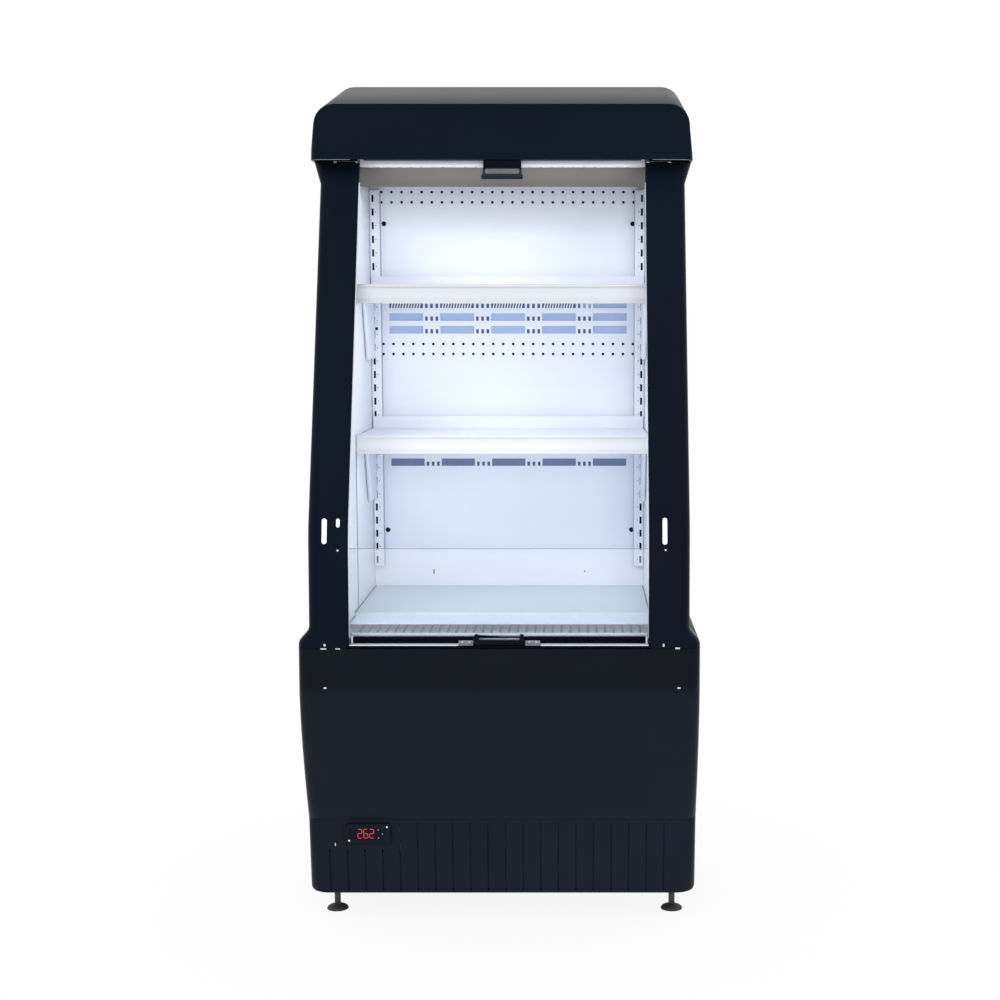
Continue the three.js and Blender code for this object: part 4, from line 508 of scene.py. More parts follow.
# ---- Foamed body: walls, back, floor and roof ----------------------------------------------------
# Steel skins over foam. The sides and the back are painted dark with a fine orange-peel, and the
# inner faces are the white liner's.
dark_paint = finish_of("dark painted steel skin", (0.018, 0.020, 0.025), 0.42, specular=0.3,
                       patch=0.12, patch_size=2, grain=0.14, grain_size=420)
for node in ("side_wall_left", "side_wall_right", "back_wall"):
    wall = moulded(node, node + "_skin", 0.0008)
    fit(wall, "cabinet", "foamed_skin", node, material=dark_paint)

liner_white = finish_of("white liner", (0.88, 0.92, 0.97), 0.30, specular=0.45, patch=0.02,
                        patch_size=3, grain=0.03, grain_size=300)
for node in ("side_liner_left", "side_liner_right", "floor_insulation", "roof_insulation"):
    liner = moulded(node, node + "_sheet", 0.0004)
    fit(liner, "cabinet", "liner", node, material=liner_white)

# A shallow seam runs up each side liner below the lower shelf; its dark strip is painted shade in the
# joint.
seam_shade = finish_of("shaded liner seam", (0.10, 0.12, 0.16), 0.5, specular=0.2, patch_size=30)
for side, hand in [("left", -1), ("right", 1)]:
    seam = bar_of(f"liner_seam_{side}", (hand * 0.2598, -0.1080, 0.6895),
                  (0.0008, 0.0040, 0.2800), 0.0002)
    fit(seam, "cabinet", "liner", material=seam_shade)

# ---- Perforated duct panel -----------------------------------------------------------------------
# A white powder-coated sheet in front of the coil. Cold air comes through rows of round holes and
# banks of pressed slots at each shelf's height, and the panel is fixed with four dark push fasteners.
powder_white = finish_of("white powder coat", (0.81, 0.85, 0.93), 0.36, specular=0.45, patch=0.025,
                         patch_size=4, grain=0.10, grain_size=700)
SHEET = 0.0015
HOLE_RADIUS, HOLE_PITCH = 0.0027, 0.01905
BANK_PITCH = 0.097
low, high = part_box("rear_duct_panel")
middle_z, tall = (low.z + high.z) / 2, high.z - low.z
panel = bar_of("duct_panel", (0, low.y + SHEET / 2, middle_z), (high.x - low.x, SHEET, tall), 0)


def cut_from(piece, tool):
    """Cuts one piece's shape out of another."""
    alone(piece)
    opening = piece.modifiers.new("openings", "BOOLEAN")
    opening.operation = "DIFFERENCE"
    opening.solver = "EXACT"
    opening.object = tool
    bpy.ops.object.modifier_apply(modifier=opening.name)
    bpy.data.objects.remove(tool)


cutters = []
for z in (1.301, 1.282, 1.016, 0.997):
    for i in range(26):
        bpy.ops.mesh.primitive_cylinder_add(vertices=12, radius=HOLE_RADIUS, depth=0.008,
                                            location=(HOLE_PITCH * (i - 12.5), low.y, z),
                                            rotation=(math.radians(90), 0, 0))
        settle(bpy.context.object)
        cutters.append(bpy.context.object)
for z in (1.091, 1.067, 1.043, 0.838, 0.814, 0.790):
    for i in range(5):
        cutters.append(bar_of("slot", (BANK_PITCH * (i - 2), low.y, z), (0.064, 0.008, 0.014), 0))
    for i in range(4):
        for step in (-0.010, 0, 0.010):
            spot = (BANK_PITCH * (i - 1.5) + step, low.y, z - 0.003)
            cutters.append(bar_of("square hole", spot, (0.005, 0.008, 0.008), 0))
cut_from(panel, gather(cutters, "duct_openings"))
walls = [panel]
for side in (-1, 1):
    walls.append(bar_of("flange", (side * (high.x - SHEET / 2), (low.y + 0.002 + high.y) / 2, middle_z),
                        (SHEET, high.y - low.y - 0.002, tall), 0.0003, 1))
panel = gather(walls, "duct_panel")
fit(panel, "cabinet", "white_sheet", "rear_duct_panel", material=powder_white)

# Behind the banks of slots a pale baffle turns the air forward; its blue-grey is painted shade, much
# darker on the lower baffle under the lower shelf. Its foot behind the square holes, and the top row,
# are darkened by dark strips of painted shade, and fine slanted bars cross the top row.
for group, z0, z1, tone in [("upper", 1.028, 1.104, (0.42, 0.53, 0.76)),
                            ("lower", 0.776, 0.850, (0.17, 0.23, 0.38))]:
    baffle = bar_of(f"duct_baffle_{group}", (0, low.y + 0.0036, (z0 + z1) / 2),
                    (0.500, 0.0008, z1 - z0), 0.0002, 1)
    fit(baffle, "cabinet", "white_sheet",
        material=finish_of(f"{group} baffle painted shade", tone, 0.5, specular=0.3, patch=0.05, patch_size=6))
SHADE_DEPTH, SHADE_SHEET = 0.0028, 0.0006
shades = []
for z0, z1 in [(1.028, 1.082), (0.776, 0.850)]:
    for i in range(4):
        spot = (BANK_PITCH * (i - 1.5), low.y + SHADE_DEPTH, (z0 + z1) / 2)
        shades.append(bar_of("shade", spot, (0.0280, SHADE_SHEET, z1 - z0), 0))
shades.append(bar_of("shade", (-0.0485, low.y + SHADE_DEPTH, 1.0920), (0.3700, SHADE_SHEET, 0.0190), 0))
shades = gather(shades, "duct_shade_strips")
break_edges(shades, 0.0001, 1)
fit(shades, "cabinet", "white_sheet",
    material=finish_of("shaded duct strip", (0.10, 0.13, 0.25), 0.5, specular=0.2, patch=0.05,
                       patch_size=6))
bars = []
for i in range(4):
    for step in range(11):
        x = BANK_PITCH * (i - 2) + 0.0053 * (step - 5)
        bars.append(bar_of("bar", (x, low.y + 0.0008, 1.091), (0.0024, 0.0012, 0.0150), 0,
                           turn=(0, math.radians(12), 0)))
comb = gather(bars, "duct_comb_bars")
break_edges(comb, 0.0002, 1)
fit(comb, "cabinet", "white_sheet", material=powder_white)

# Four dark push fasteners hold the panel, and three small dark rivets show on it.
fastener_black = finish_of("push fastener", (0.006, 0.008, 0.014), 0.5, specular=0.1, patch=0.15,
                           patch_size=90)
for i, (x, z) in enumerate([(-0.2340, 1.242), (0.2365, 1.242), (-0.2340, 0.659), (0.2365, 0.659)]):
    bpy.ops.mesh.primitive_uv_sphere_add(segments=24, ring_count=12, radius=0.0045,
                                         location=(x, low.y, z))
    stud = bpy.context.object
    stud.name = f"duct_fastener_{i + 1}"
    stud.scale = (1, 0.5, 1)
    bpy.ops.object.mode_set(mode="EDIT")
    bpy.ops.mesh.bisect(plane_co=(x, low.y + 0.0001, z), plane_no=(0, 1, 0), clear_outer=True,
                        use_fill=True)
    bpy.ops.object.mode_set(mode="OBJECT")
    settle(stud)
    bpy.ops.object.shade_smooth_by_angle(angle=math.radians(40))
    fit(stud, "cabinet", "black_trim", material=fastener_black)
for i, (x, y, z, wide, height) in enumerate([(-0.146, 0.1429, 0.577, 0.0024, 0.0090),
                                              (0.146, 0.1429, 0.578, 0.0030, 0.0030),
                                              (-0.249, 0.1309, 1.045, 0.0052, 0.0052)]):
    rivet = bar_of(f"duct_rivet_{i + 1}", (x, y, z), (wide, 0.0010, height), 0.0004)
    fit(rivet, "cabinet", "black_trim", material=fastener_black)

# ---- Uprights, shelves and ticket rails ----------------------------------------------------------
# Folded and powder-coated steel. The brackets hook into the slotted uprights, the shelf trays lie on
# the brackets, and a white plastic ticket rail clips over each shelf's front edge.
# The uprights' flange faces beside the panel take a darker blue-grey: painted shade.
flange_shade = finish_of("shaded upright flange", (0.30, 0.38, 0.56), 0.4, specular=0.3, patch=0.04,
                         patch_size=5)
INNER_FLANGE = 0.2397  # |X| of the uprights' flange beside the panel
EDGE_INNER, EDGE_OUTER = 0.2402, 0.2592
for node in ("shelf_standard_left", "shelf_standard_right"):
    channel = moulded(node, node + "_channel", 0.0004)
    fit(channel, "cabinet", "white_sheet", node, material=powder_white)
    channel.data.materials.append(flange_shade)
    for face in channel.data.polygons:
        if abs(face.normal.x) > 0.95 and abs(abs(face.center.x) - INNER_FLANGE) < 0.001:
            face.material_index = 1
# On each upright a dark strip behind the slots is painted shade so that they read black, the dimples
# are black discs of painted shade, and thin strips along both edges are painted shade lines.
for side, x in [("left", -0.2537), ("right", 0.2537)]:
    low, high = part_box("shelf_standard_" + side)
    middle_z, tall = (low.z + high.z) / 2, high.z - low.z
    slot_shade = bar_of(f"upright_slot_shade_{side}", (x, 0.1405, middle_z), (0.0110, 0.0008, tall - 0.004),
                     0.0002, 1)
    fit(slot_shade, "cabinet", "black_trim", material=fastener_black)
    dimples = []
    for i in range(27):
        bpy.ops.mesh.primitive_cylinder_add(vertices=8, radius=0.0009, depth=0.0008,
                                            location=(x * 0.9775, low.y - 0.0001, 0.6030 + 0.0254 * i),
                                            rotation=(math.radians(90), 0, 0))
        dimples.append(bpy.context.object)
    dimples = gather(dimples, f"upright_dimples_{side}")
    settle(dimples)
    fit(dimples, "cabinet", "black_trim", material=fastener_black)
    edges = gather([bar_of("edge", (math.copysign(reach, x), low.y - 0.0001, middle_z),
                           (0.0008, 0.0006, tall - 0.002), 0) for reach in (EDGE_INNER, EDGE_OUTER)],
                   f"upright_edge_shades_{side}")
    break_edges(edges, 0.0001, 1)
    fit(edges, "cabinet", "white_sheet", material=flange_shade)
LINER_REACH = 0.2590  # |X| at which the brackets' plates stand against the liners
for level_name in ("lower", "upper"):
    node = f"shelf_plate_{level_name}"
    tray = moulded(node, f"shelf_tray_{level_name}", 0.0005)
    fit(tray, "cabinet", "white_sheet", node, material=powder_white)
    for side in ("left", "right"):
        node = f"shelf_bracket_{level_name}_{side}"
        arm = moulded(node, node + "_arm", 0.0005)
        fit(arm, "cabinet", "white_sheet", node, material=powder_white)
        for corner in arm.data.vertices:
            if abs(corner.co.x) > 0.254 and corner.co.y < 0.128:
                corner.co.x = math.copysign(LINER_REACH, corner.co.x)
# The upper rail's white is painted darker than the lower's, as painted shade, to offset the lamp light
# that falls strongest on it.
RAIL_REACH = 0.0027  # how far each end of a rail stands past its shelf
for level_name, tone in [("lower", (0.70, 0.73, 0.78)), ("upper", (0.56, 0.59, 0.63))]:
    node = f"price_rail_{level_name}"
    rail = moulded(node, node + "_extrusion", 0.0003)
    for corner in rail.data.vertices:
        if abs(corner.co.x) > 0.245:
            corner.co.x += math.copysign(RAIL_REACH, corner.co.x)
    fit(rail, "cabinet", "white_plastic", node,
        material=finish_of(f"white {level_name} ticket rail", tone, 0.30, specular=0.4, patch=0.02,
                           patch_size=5, stretch=(0.3, 1, 1), grain=0.02, grain_size=500))

# ---- Ceiling and cold-air discharge --------------------------------------------------------------
# A satin steel ceiling falls gently to the back; its dark brown-grey is painted shade and painted
# reflection of the room as well as the steel's own tone. The white cell grille before it blows the cold
# curtain down the open front.
satin_steel = finish_of("satin ceiling steel", (0.120, 0.112, 0.102), 0.42, metal=0.30, patch_size=3,
                        stretch=(1, 6, 6), grain_size=300)
ceiling = moulded("ceiling_panel", "ceiling_sheet", 0.0004)
fit(ceiling, "cabinet", "satin_steel", "ceiling_panel", material=satin_steel)
cell_grey = finish_of("grey white air cells", (0.50, 0.515, 0.56), 0.40, specular=0.3, patch=0.06,
                      patch_size=4)
cells = moulded("discharge_grille", "discharge_cells", 0.0003)
fit(cells, "cabinet", "white_plastic", "discharge_grille", material=cell_grey)

# ---- Deck, return-air grille, sill and front glass -----------------------------------------------
# The deck pan stands over the floor, with the slotted return grille before it. The black sill rail
# has a groove for the toughened glass, and a bright strip trims the seam below it.
# The deck and the return grille carry the panel's white coat, painted darker and bluer: painted shade.
deck_shaded_white = finish_of("white deck coat in painted shade", (0.51, 0.61, 0.71), 0.34, specular=0.4, patch=0.04,
                       patch_size=4, grain=0.08, grain_size=700)
deck = moulded("deck_pan", "deck_tray", 0.0002, 1)
fit(deck, "cabinet", "white_sheet", "deck_pan", material=deck_shaded_white)
grille_shaded_white = finish_of("white grille coat in painted shade", (0.60, 0.70, 0.80), 0.36, specular=0.4, patch=0.03,
                         patch_size=4, grain=0.08, grain_size=700)
grille = moulded("return_air_grille", "return_grille_sheet", 0.0002, 1)
fit(grille, "cabinet", "white_sheet", "return_air_grille", material=grille_shaded_white)
low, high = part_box("return_air_grille")
well = bar_of("return_drip_sheet", (0, (low.y + high.y) / 2, high.z - 0.0036),
              (0.510, high.y - low.y - 0.006, 0.0008), 0.0002, 1)
fit(well, "cabinet", "white_sheet",
    material=finish_of("pale drip sheet", (0.66, 0.78, 0.94), 0.5, patch=0.05))
# Dark beads run along the deck's side edges in the seam's dark tone: painted shade where deck meets
# liner.
for side, hand in [("left", -1), ("right", 1)]:
    bead = bar_of(f"deck_bead_{side}", (hand * 0.2586, -0.0100, 0.5495), (0.0018, 0.3000, 0.0016),
                  0.0004)
    fit(bead, "cabinet", "black_trim", material=seam_shade)
trim_plastic = finish_of("black sill extrusion", (0.0018, 0.0026, 0.0048), 0.42, specular=0.02,
                         patch_size=6, stretch=(0.2, 1, 1), grain=0.08)
sill = moulded("sill_rail", "sill_extrusion", 0.0006)
fit(sill, "cabinet", "black_trim", "sill_rail", material=trim_plastic)

glass = moulded("glass_riser", "front_glass", 0.0007, 2)
clear = bpy.data.materials.new("toughened glass")
clear.use_nodes = True
tree = clear.node_tree
shader = tree.nodes["Principled BSDF"]
shader.inputs["Base Color"].default_value = (0.82, 0.90, 0.94, 1)
shader.inputs["IOR"].default_value = 1.5
shader.inputs["Alpha"].default_value = 0.10
place = tree.nodes.new("ShaderNodeTexCoord")
smear = tree.nodes.new("ShaderNodeTexNoise")
smear.inputs["Scale"].default_value = 14
smear.inputs["Detail"].default_value = 4
tree.links.new(place.outputs["Object"], smear.inputs["Vector"])
gloss = tree.nodes.new("ShaderNodeMapRange")
gloss.inputs["To Min"].default_value = 0.01
gloss.inputs["To Max"].default_value = 0.05
tree.links.new(smear.outputs["Fac"], gloss.inputs["Value"])
tree.links.new(gloss.outputs[0], shader.inputs["Roughness"])
fit(glass, "cabinet", "clear_glass", "glass_riser", material=clear)
glass.data.materials.append(finish_of("polished glass edge", (0.25, 0.28, 0.34), 0.15, patch=0.05,
                                      grain=0.0))
for face in glass.data.polygons:
    face.material_index = 0 if abs(face.normal.y) > 0.9 else 1

bright_trim = finish_of("white sill trim", (0.66, 0.71, 0.80), 0.30, patch=0.03, patch_size=6,
                        stretch=(0.1, 1, 1), grain=0.02)
cap_tone = finish_of("pale sill cap", (0.36, 0.43, 0.52), 0.40, specular=0.3, patch=0.03, patch_size=6)
for name, spot, size, finish in [
    ("sill_trim_left", (-0.1602, -0.2847, 0.5157), (0.1836, 0.0186, 0.0009), bright_trim),
    ("sill_trim_right", (0.1610, -0.2847, 0.5157), (0.1820, 0.0186, 0.0009), bright_trim),
    ("sill_end_left", (-0.2494, -0.2668, 0.5207), (0.0030, 0.0186, 0.0150), bright_trim),
    ("sill_end_right", (0.2494, -0.2668, 0.5207), (0.0030, 0.0186, 0.0150), bright_trim),
    ("sill_cap", (0, -0.2613, 0.5274), (0.4938, 0.0062, 0.0010), cap_tone),
]:
    fit(bar_of(name, spot, size, 0.0003), "cabinet", "white_plastic", material=finish)

# A small sprung steel plate stands on either side of the catch, held by two screws.
PLATE_WIDTH, PLATE_SHEET, SCREW_STEP = 0.0250, 0.0012, 0.006
plate_steel = finish_of("catch plate steel", (0.26, 0.27, 0.30), 0.34, metal=0.5, patch=0.2,
                        patch_size=200)
for side, x in [("left", -0.0560), ("right", 0.0567)]:
    plate = bar_of("plate", (x, -0.2840, 0.5160), (PLATE_WIDTH, 0.0160, PLATE_SHEET), 0)
    wing = bar_of("wing", (x, -0.2800, 0.5188), (PLATE_WIDTH, PLATE_SHEET, 0.0060), 0)
    spring_plate = gather([plate, wing], f"catch_plate_{side}")
    break_edges(spring_plate, 0.0003, 1)
    fit(spring_plate, "cabinet", "zinc_sheet", material=plate_steel)
    for step in (-SCREW_STEP, SCREW_STEP):
        end = "inner" if step * x < 0 else "outer"
        pan_screw(f"catch_plate_screw_{side}_{end}", (x + step, -0.2809, 0.5190), 0.0022)

# ---- Night blind ---------------------------------------------------------------------------------
# A silvered cloth on a sprung roll under the canopy. Its bottom bar carries a black pull handle that
# hooks behind the catch on the sill when the shop is closed.
handle_plastic = finish_of("blind handle plastic", (0.0030, 0.0040, 0.0075), 0.36, specular=0.05,
                           patch_size=20, grain=0.08)
blind_bar = moulded("blind_bar", "blind_bottom_bar", 0.0022, 4)
fit(blind_bar, "night_blind", "black_trim", "blind_bar", material=handle_plastic)
handle = moulded("blind_handle", "blind_pull_handle", 0.0011, 3)
fit(handle, "night_blind", "black_trim", "blind_handle", material=handle_plastic)

# The catch's top is cut down between its two posts, and a bright strip shows in the cut.
RELIEF_WIDTH, RELIEF_DEPTH = 0.071, 0.0050
catch = moulded("blind_catch", "sill_catch", 0)
low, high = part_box("blind_catch")
relief_cut = bar_of("relief", (0, (low.y + high.y) / 2, high.z),
                    (RELIEF_WIDTH, 0.02, 2 * RELIEF_DEPTH), 0)
cut_from(catch, relief_cut)
break_edges(catch, 0.0007, 2)
fit(catch, "cabinet", "black_trim", "blind_catch", material=handle_plastic)
reflector = bar_of("catch_reflector", (0, -0.2790, 0.5252), (0.0680, 0.0012, 0.0038), 0.0003, 1)
fit(reflector, "cabinet", "white_plastic", material=bright_trim)

# The cloth is a plain weave with a silvered face. Its strip runs straight from the roll to the bar.
cloth = bpy.data.materials.new("silvered blind cloth")
cloth.use_nodes = True
tree = cloth.node_tree
shader = tree.nodes["Principled BSDF"]
shader.inputs["Roughness"].default_value = 0.55
shader.inputs["Metallic"].default_value = 0.2
shader.inputs["Sheen Weight"].default_value = 0.2
place = tree.nodes.new("ShaderNodeTexCoord")
threads = []
for axis_name in ("X", "Z"):
    thread = tree.nodes.new("ShaderNodeTexWave")
    thread.bands_direction = axis_name
    thread.inputs["Scale"].default_value = 320
    thread.inputs["Distortion"].default_value = 0.4
    tree.links.new(place.outputs["Object"], thread.inputs["Vector"])
    threads.append(thread)
weave = tree.nodes.new("ShaderNodeMath")
weave.operation = "MULTIPLY"
tree.links.new(threads[0].outputs["Fac"], weave.inputs[0])
tree.links.new(threads[1].outputs["Fac"], weave.inputs[1])
tones = tree.nodes.new("ShaderNodeValToRGB")
tones.color_ramp.elements[0].color = (0.34, 0.36, 0.38, 1)
tones.color_ramp.elements[1].color = (0.58, 0.60, 0.62, 1)
tree.links.new(weave.outputs[0], tones.inputs["Fac"])
tree.links.new(tones.outputs["Color"], shader.inputs["Base Color"])
relief = tree.nodes.new("ShaderNodeBump")
relief.inputs["Strength"].default_value = 0.3
relief.inputs["Distance"].default_value = 0.0003
tree.links.new(weave.outputs[0], relief.inputs["Height"])
tree.links.new(relief.outputs[0], shader.inputs["Normal"])

roll = moulded("blind_roller", "blind_roll", 0.0008)
fit(roll, "blind_roller", "blind_cloth", "blind_roller", material=cloth)

CLOTH_WIDTH = 0.484
CLOTH_THICKNESS = 0.0006
bar_low, bar_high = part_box("blind_bar")
joint = next(j for j in frame["joints"] if j["name"] == "blind_pull")
run = Vector(joint["axis"]).normalized()
bar_middle = (bar_low + bar_high) / 2
strip_top = bar_middle - run * 0.047
strip_end = bar_middle - run * 0.0076
cloth_length = (strip_end - strip_top).length
bpy.ops.mesh.primitive_grid_add(x_subdivisions=40, y_subdivisions=24, size=1)
strip = bpy.context.object
strip.name = "blind_cloth_strip"
strip.scale = (CLOTH_WIDTH, cloth_length, 1)
strip.rotation_euler = (math.atan2(-run.z, -run.y), 0, 0)
strip.location = (strip_top + strip_end) / 2
settle(strip)
wall = strip.modifiers.new("thickness", "SOLIDIFY")
wall.thickness = CLOTH_THICKNESS
wall.offset = 0
bpy.ops.object.modifier_apply(modifier=wall.name)
bpy.ops.object.shade_smooth()
strip.data.materials.append(cloth)
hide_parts("blind_fabric")
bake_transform(strip)

zinc = finish_of("zinc-plated sheet", (0.52, 0.54, 0.56), 0.38, metal=0.85, patch=0.18,
                 patch_size=60, grain=0.06, grain_size=500)
for side in ("left", "right"):
    bracket = moulded(f"blind_bracket_{side}", f"blind_bracket_{side}_plate", 0.0004)
    fit(bracket, "cabinet", "zinc_sheet", f"blind_bracket_{side}", material=zinc)

# ---- Levelling feet ------------------------------------------------------------------------------
# Each foot is a dark domed pad of glass-filled plastic on a dark stem, which turns in the frame.
PAD_RADIUS, PAD_RIM = 0.0195, 0.003
STEM_RADIUS, STEM_LENGTH, STEM_MIDDLE = 0.0056, 0.050, 0.034
DOME_STEPS = [(0.0012, 0.0018), (0.0028, 0.0020), (0.0045, 0.0016), (0.0045, 0.0008)]  # inward, up
pad_plastic = finish_of("foot pad plastic", (0.040, 0.040, 0.042), 0.55, specular=0.3, patch=0.15,
                        patch_size=40, grain=0.3)
for place_name in ("front_left", "front_right", "rear_left", "rear_right"):
    node = f"levelling_foot_{place_name}"
    low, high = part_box(node)
    middle = (low + high) / 2
    bpy.ops.mesh.primitive_cylinder_add(vertices=40, radius=PAD_RADIUS, depth=PAD_RIM,
                                        location=(0, 0, PAD_RIM / 2))
    pad = bpy.context.object
    pad.name = f"foot_pad_{place_name}"
    pick_faces(pad, lambda normal: normal.z > 0.9)
    for inward, up in DOME_STEPS:
        bpy.ops.mesh.inset(thickness=inward, depth=0)
        bpy.ops.transform.translate(value=(0, 0, up))
    bpy.ops.object.mode_set(mode="OBJECT")
    break_edges(pad, 0.0006, 2, over=25, smooth=40)
    pad.location = (middle.x, middle.y, 0)
    settle(pad)
    fit(pad, f"foot_{place_name}", "foot_rubber", node, material=pad_plastic)
    bpy.ops.mesh.primitive_cylinder_add(vertices=24, radius=STEM_RADIUS, depth=STEM_LENGTH,
                                        location=(middle.x, middle.y, STEM_MIDDLE))
    stem = bpy.context.object
    stem.name = f"foot_stem_{place_name}"
    break_edges(stem, 0.0007, 2)
    settle(stem)
    fit(stem, f"foot_{place_name}", "foot_rubber", material=pad_plastic)

# ---- Controller ----------------------------------------------------------------------------------
# A snap-in digital thermostat: a black bezel with a smoked window over red seven-segment digits, and
# three small rubber keys to the right of it.
bezel_plastic = finish_of("controller bezel", (0.0062, 0.0094, 0.0165), 0.34, specular=0.04,
                          patch_size=30, grain=0.1, grain_size=1500)
bezel = moulded("controller_housing", "controller_bezel", 0.0005)
fit(bezel, "cabinet", "black_trim", "controller_housing", material=bezel_plastic)
key_rubber = finish_of("key rubber", (0.0075, 0.0095, 0.0150), 0.6, specular=0.08, patch_size=200)
for key in ("up", "set", "down"):
    node = f"controller_button_{key}"
    cap = moulded(node, f"controller_key_{key}", 0.0006)
    fit(cap, f"button_{key}", "button_rubber", node, material=key_rubber)

CONTROLLER_X, CONTROLLER_Z = -0.233, 0.1706
face_y = Vector((0, math.cos(GRILLE_LEAN), math.sin(GRILLE_LEAN)))
face_z = Vector((0, -math.sin(GRILLE_LEAN), math.cos(GRILLE_LEAN)))
face_at = -0.227 + (GRILLE_TOP - CONTROLLER_Z) * math.tan(GRILLE_LEAN)
controller_at = Vector((CONTROLLER_X, face_at, CONTROLLER_Z))


def on_controller(x, out, z):
    """A point on the controller: right, out of its face and up, from the bezel's middle."""
    return controller_at + Vector((x, 0, 0)) - face_y * out + face_z * z


smoked = finish_of("smoked display window", (0.0046, 0.0066, 0.0120), 0.26, specular=0.05, patch=0.05,
                   patch_size=30, grain=0.0, rough_spread=0.03)
window = bar_of("controller_window", on_controller(-0.011, 0.0053, 0), (0.0434, 0.0010, 0.0204),
                0.0003, turn=(GRILLE_LEAN, 0, 0))
fit(window, "cabinet", "black_trim", material=smoked)

digit_red = bpy.data.materials.new("red display digit")
digit_red.use_nodes = True
shader = digit_red.node_tree.nodes["Principled BSDF"]
shader.inputs["Base Color"].default_value = (0.55, 0.02, 0.02, 1)
shader.inputs["Emission Color"].default_value = (0.95, 0.07, 0.14, 1)
shader.inputs["Emission Strength"].default_value = 0.54
# Each segment of a digit: how far across and up from its middle, and whether it lies flat.
SEGMENTS = {"a": (0, 1, True), "b": (1, 0.5, False), "c": (1, -0.5, False), "d": (0, -1, True),
            "e": (-1, -0.5, False), "f": (-1, 0.5, False), "g": (0, 0, True)}
DIGIT_PITCH, HALF_WIDTH, HALF_HEIGHT = 0.0104, 0.0035, 0.0082
STROKE, STROKE_RELIEF = 0.0010, 0.0003
strokes = []
for i, lit in enumerate(["abged", "afgecd", "abged"]):
    for part in lit:
        across, up, flat = SEGMENTS[part]
        spot = on_controller(-0.0146 + DIGIT_PITCH * i + across * HALF_WIDTH, 0.0060, up * HALF_HEIGHT)
        size = (0.0056, STROKE_RELIEF, STROKE) if flat else (STROKE, STROKE_RELIEF, 0.0070)
        strokes.append(bar_of("stroke", spot, size, 0.0003, 1, turn=(GRILLE_LEAN, 0, 0)))
fit(gather(strokes, "controller_digits"), "cabinet", "black_trim", material=digit_red)

# Two screws sit in the bezel's corners, their heads white as painted glints, and each key carries a
# small grey print dot that is also a painted glint.
key_print_glint = finish_of("grey key print glint", (0.28, 0.29, 0.32), 0.5, patch=0.05)
for name, x, z, out, radius, body, slot, finish in [
    ("bezel_screw_glint_left", -0.0335, -0.0130, 0.0060, 0.0016, "cabinet", "black_trim", plug_plastic),
    ("bezel_screw_glint_right", 0.0330, 0.0124, 0.0060, 0.0016, "cabinet", "black_trim", plug_plastic),
    ("key_print_glint_up", 0.0180, 0.0075, 0.0070, 0.0010, "button_up", "button_rubber", key_print_glint),
    ("key_print_glint_set", 0.0250, 0.0000, 0.0070, 0.0010, "button_set", "button_rubber", key_print_glint),
    ("key_print_glint_down", 0.0180, -0.0075, 0.0070, 0.0010, "button_down", "button_rubber", key_print_glint),
]:
    bpy.ops.mesh.primitive_cylinder_add(vertices=20, radius=radius, depth=0.0007,
                                        location=on_controller(x, out, z),
                                        rotation=(math.radians(90) + GRILLE_LEAN, 0, 0))
    dot = bpy.context.object
    dot.name = name
    settle(dot)
    break_edges(dot, 0.0002, 2)
    fit(dot, body, slot, material=finish)

# ---- Machine base: frame, rear cover and electrical box ------------------------------------------
# Welded and folded steel, painted satin black, carries the cabinet and the condensing unit.
frame_paint = finish_of("satin black frame paint", (0.022, 0.023, 0.026), 0.46, specular=0.4,
                        patch=0.18, patch_size=9, grain=0.2, grain_size=500)
for node in ("base_frame", "rear_grille"):
    sheet = moulded(node, node + "_sheet", 0.0004, 1)
    fit(sheet, "cabinet", "painted_steel", node, material=frame_paint)
enclosure = moulded("electrical_box", "electrical_enclosure", 0.0010)
fit(enclosure, "cabinet", "zinc_sheet", "electrical_box", material=zinc)
COVER_FACE, HEAD_RADIUS = 0.3003, 0.0045
for i, (x, z) in enumerate([(-0.322, 0.430), (0.322, 0.430), (-0.322, 0.090), (0.322, 0.090),
                            (0, 0.430), (0, 0.090)]):
    bpy.ops.mesh.primitive_cylinder_add(vertices=20, radius=HEAD_RADIUS, depth=0.0018,
                                        location=(x, COVER_FACE, z),
                                        rotation=(math.radians(-90), 0, 0))
    head = bpy.context.object
    head.name = f"rear_cover_screw_{i + 1}"
    break_edges(head, 0.0006, 2)
    settle(head)
    fit(head, "cabinet", "painted_steel", material=screw_steel)

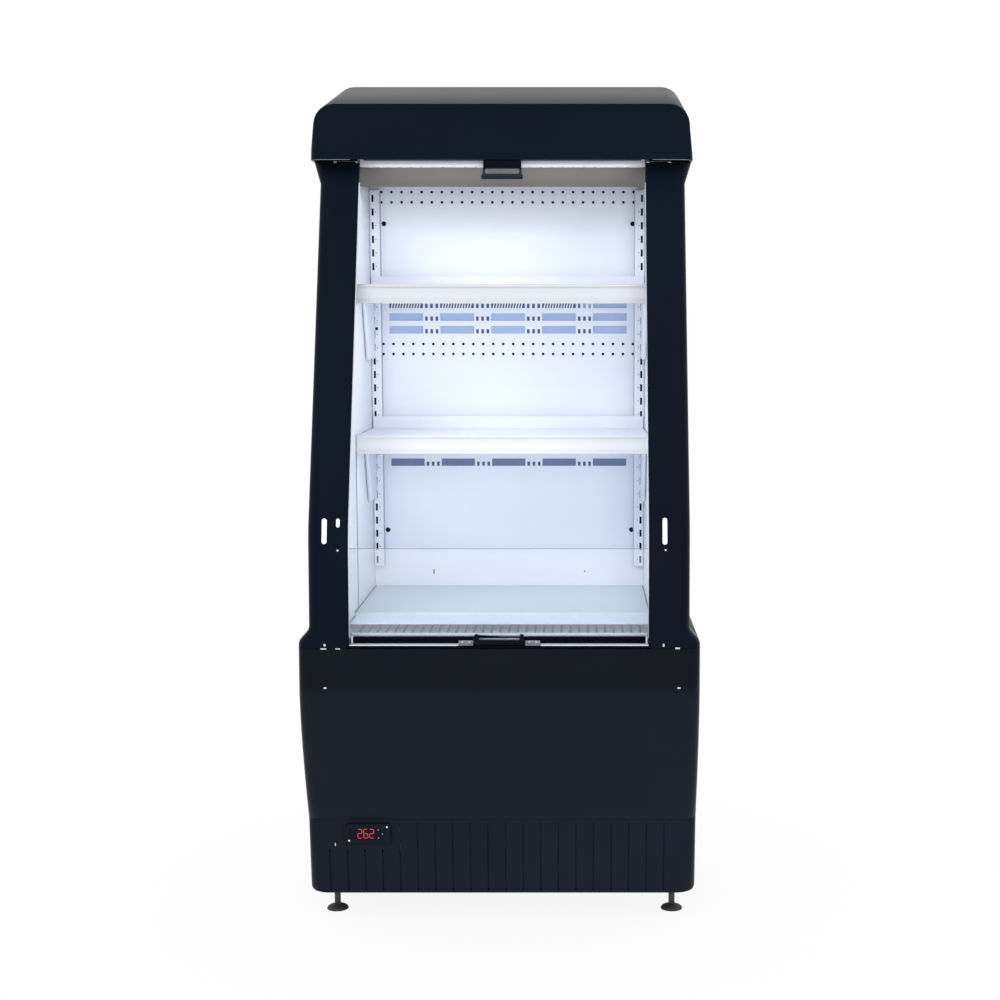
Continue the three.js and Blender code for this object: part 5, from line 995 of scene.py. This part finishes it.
# ---- Condensing unit -----------------------------------------------------------------------------
# A hermetic compressor, a finned condenser with its shrouded fan, the liquid line with its drier and
# the pan that evaporates the defrost water.
compressor_paint = finish_of("compressor enamel", (0.012, 0.012, 0.013), 0.3, patch=0.2,
                             patch_size=14, grain=0.12, grain_size=240)
fin_aluminium = finish_of("coil fins", (0.62, 0.63, 0.65), 0.42, metal=0.85, patch=0.22,
                          patch_size=25, stretch=(30, 1, 1), grain=0.3, grain_size=220)
coated_fins = finish_of("black coated coil fins", (0.006, 0.006, 0.008), 0.6, specular=0.15,
                        patch=0.2, patch_size=25, stretch=(30, 1, 1), grain=0.3, grain_size=220)
fan_plastic = finish_of("fan blade plastic", (0.030, 0.031, 0.034), 0.42, specular=0.4, patch=0.15,
                        patch_size=30, grain=0.1, grain_size=700)
copper = finish_of("drawn copper", (0.72, 0.36, 0.20), 0.3, metal=0.95, patch=0.2, patch_size=40,
                   grain_size=600)
for node, name, edge, segments, body, slot, finish in [
    ("compressor", "compressor_shell", 0.0008, 2, "cabinet", "painted_steel", compressor_paint),
    ("condenser_coil", "condenser_coil_pack", 0.0004, 1, "cabinet", "coil_fins", coated_fins),
    ("evaporator_coil", "evaporator_coil_pack", 0.0004, 1, "cabinet", "coil_fins", fin_aluminium),
    ("condenser_fan_shroud", "condenser_shroud", 0.0006, 1, "cabinet", "painted_steel", frame_paint),
    ("condenser_fan", "condenser_blades", 0.0005, 1, "condenser_fan", "dark_plastic", fan_plastic),
    ("liquid_line", "liquid_line_tube", 0, 1, "cabinet", "copper", copper),
    ("drain_pan", "drain_tray", 0.0012, 2, "cabinet", "dark_plastic", fan_plastic),
]:
    fit(moulded(node, name, edge, segments), body, slot, node, material=finish)

# ---- Evaporator fan and its deck -----------------------------------------------------------------
# A zinc-plated deck across the foot of the air duct holds the fan ring, and the fan's motor hangs
# under it on three arms.
fan_deck = moulded("evaporator_fan_deck", "fan_deck_sheet", 0.0004, 1)
fit(fan_deck, "cabinet", "zinc_sheet", "evaporator_fan_deck", material=zinc)
blades = moulded("evaporator_fan", "evaporator_blades", 0.0004, 1)
fit(blades, "evaporator_fan", "dark_plastic", "evaporator_fan", material=fan_plastic)

low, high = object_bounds()
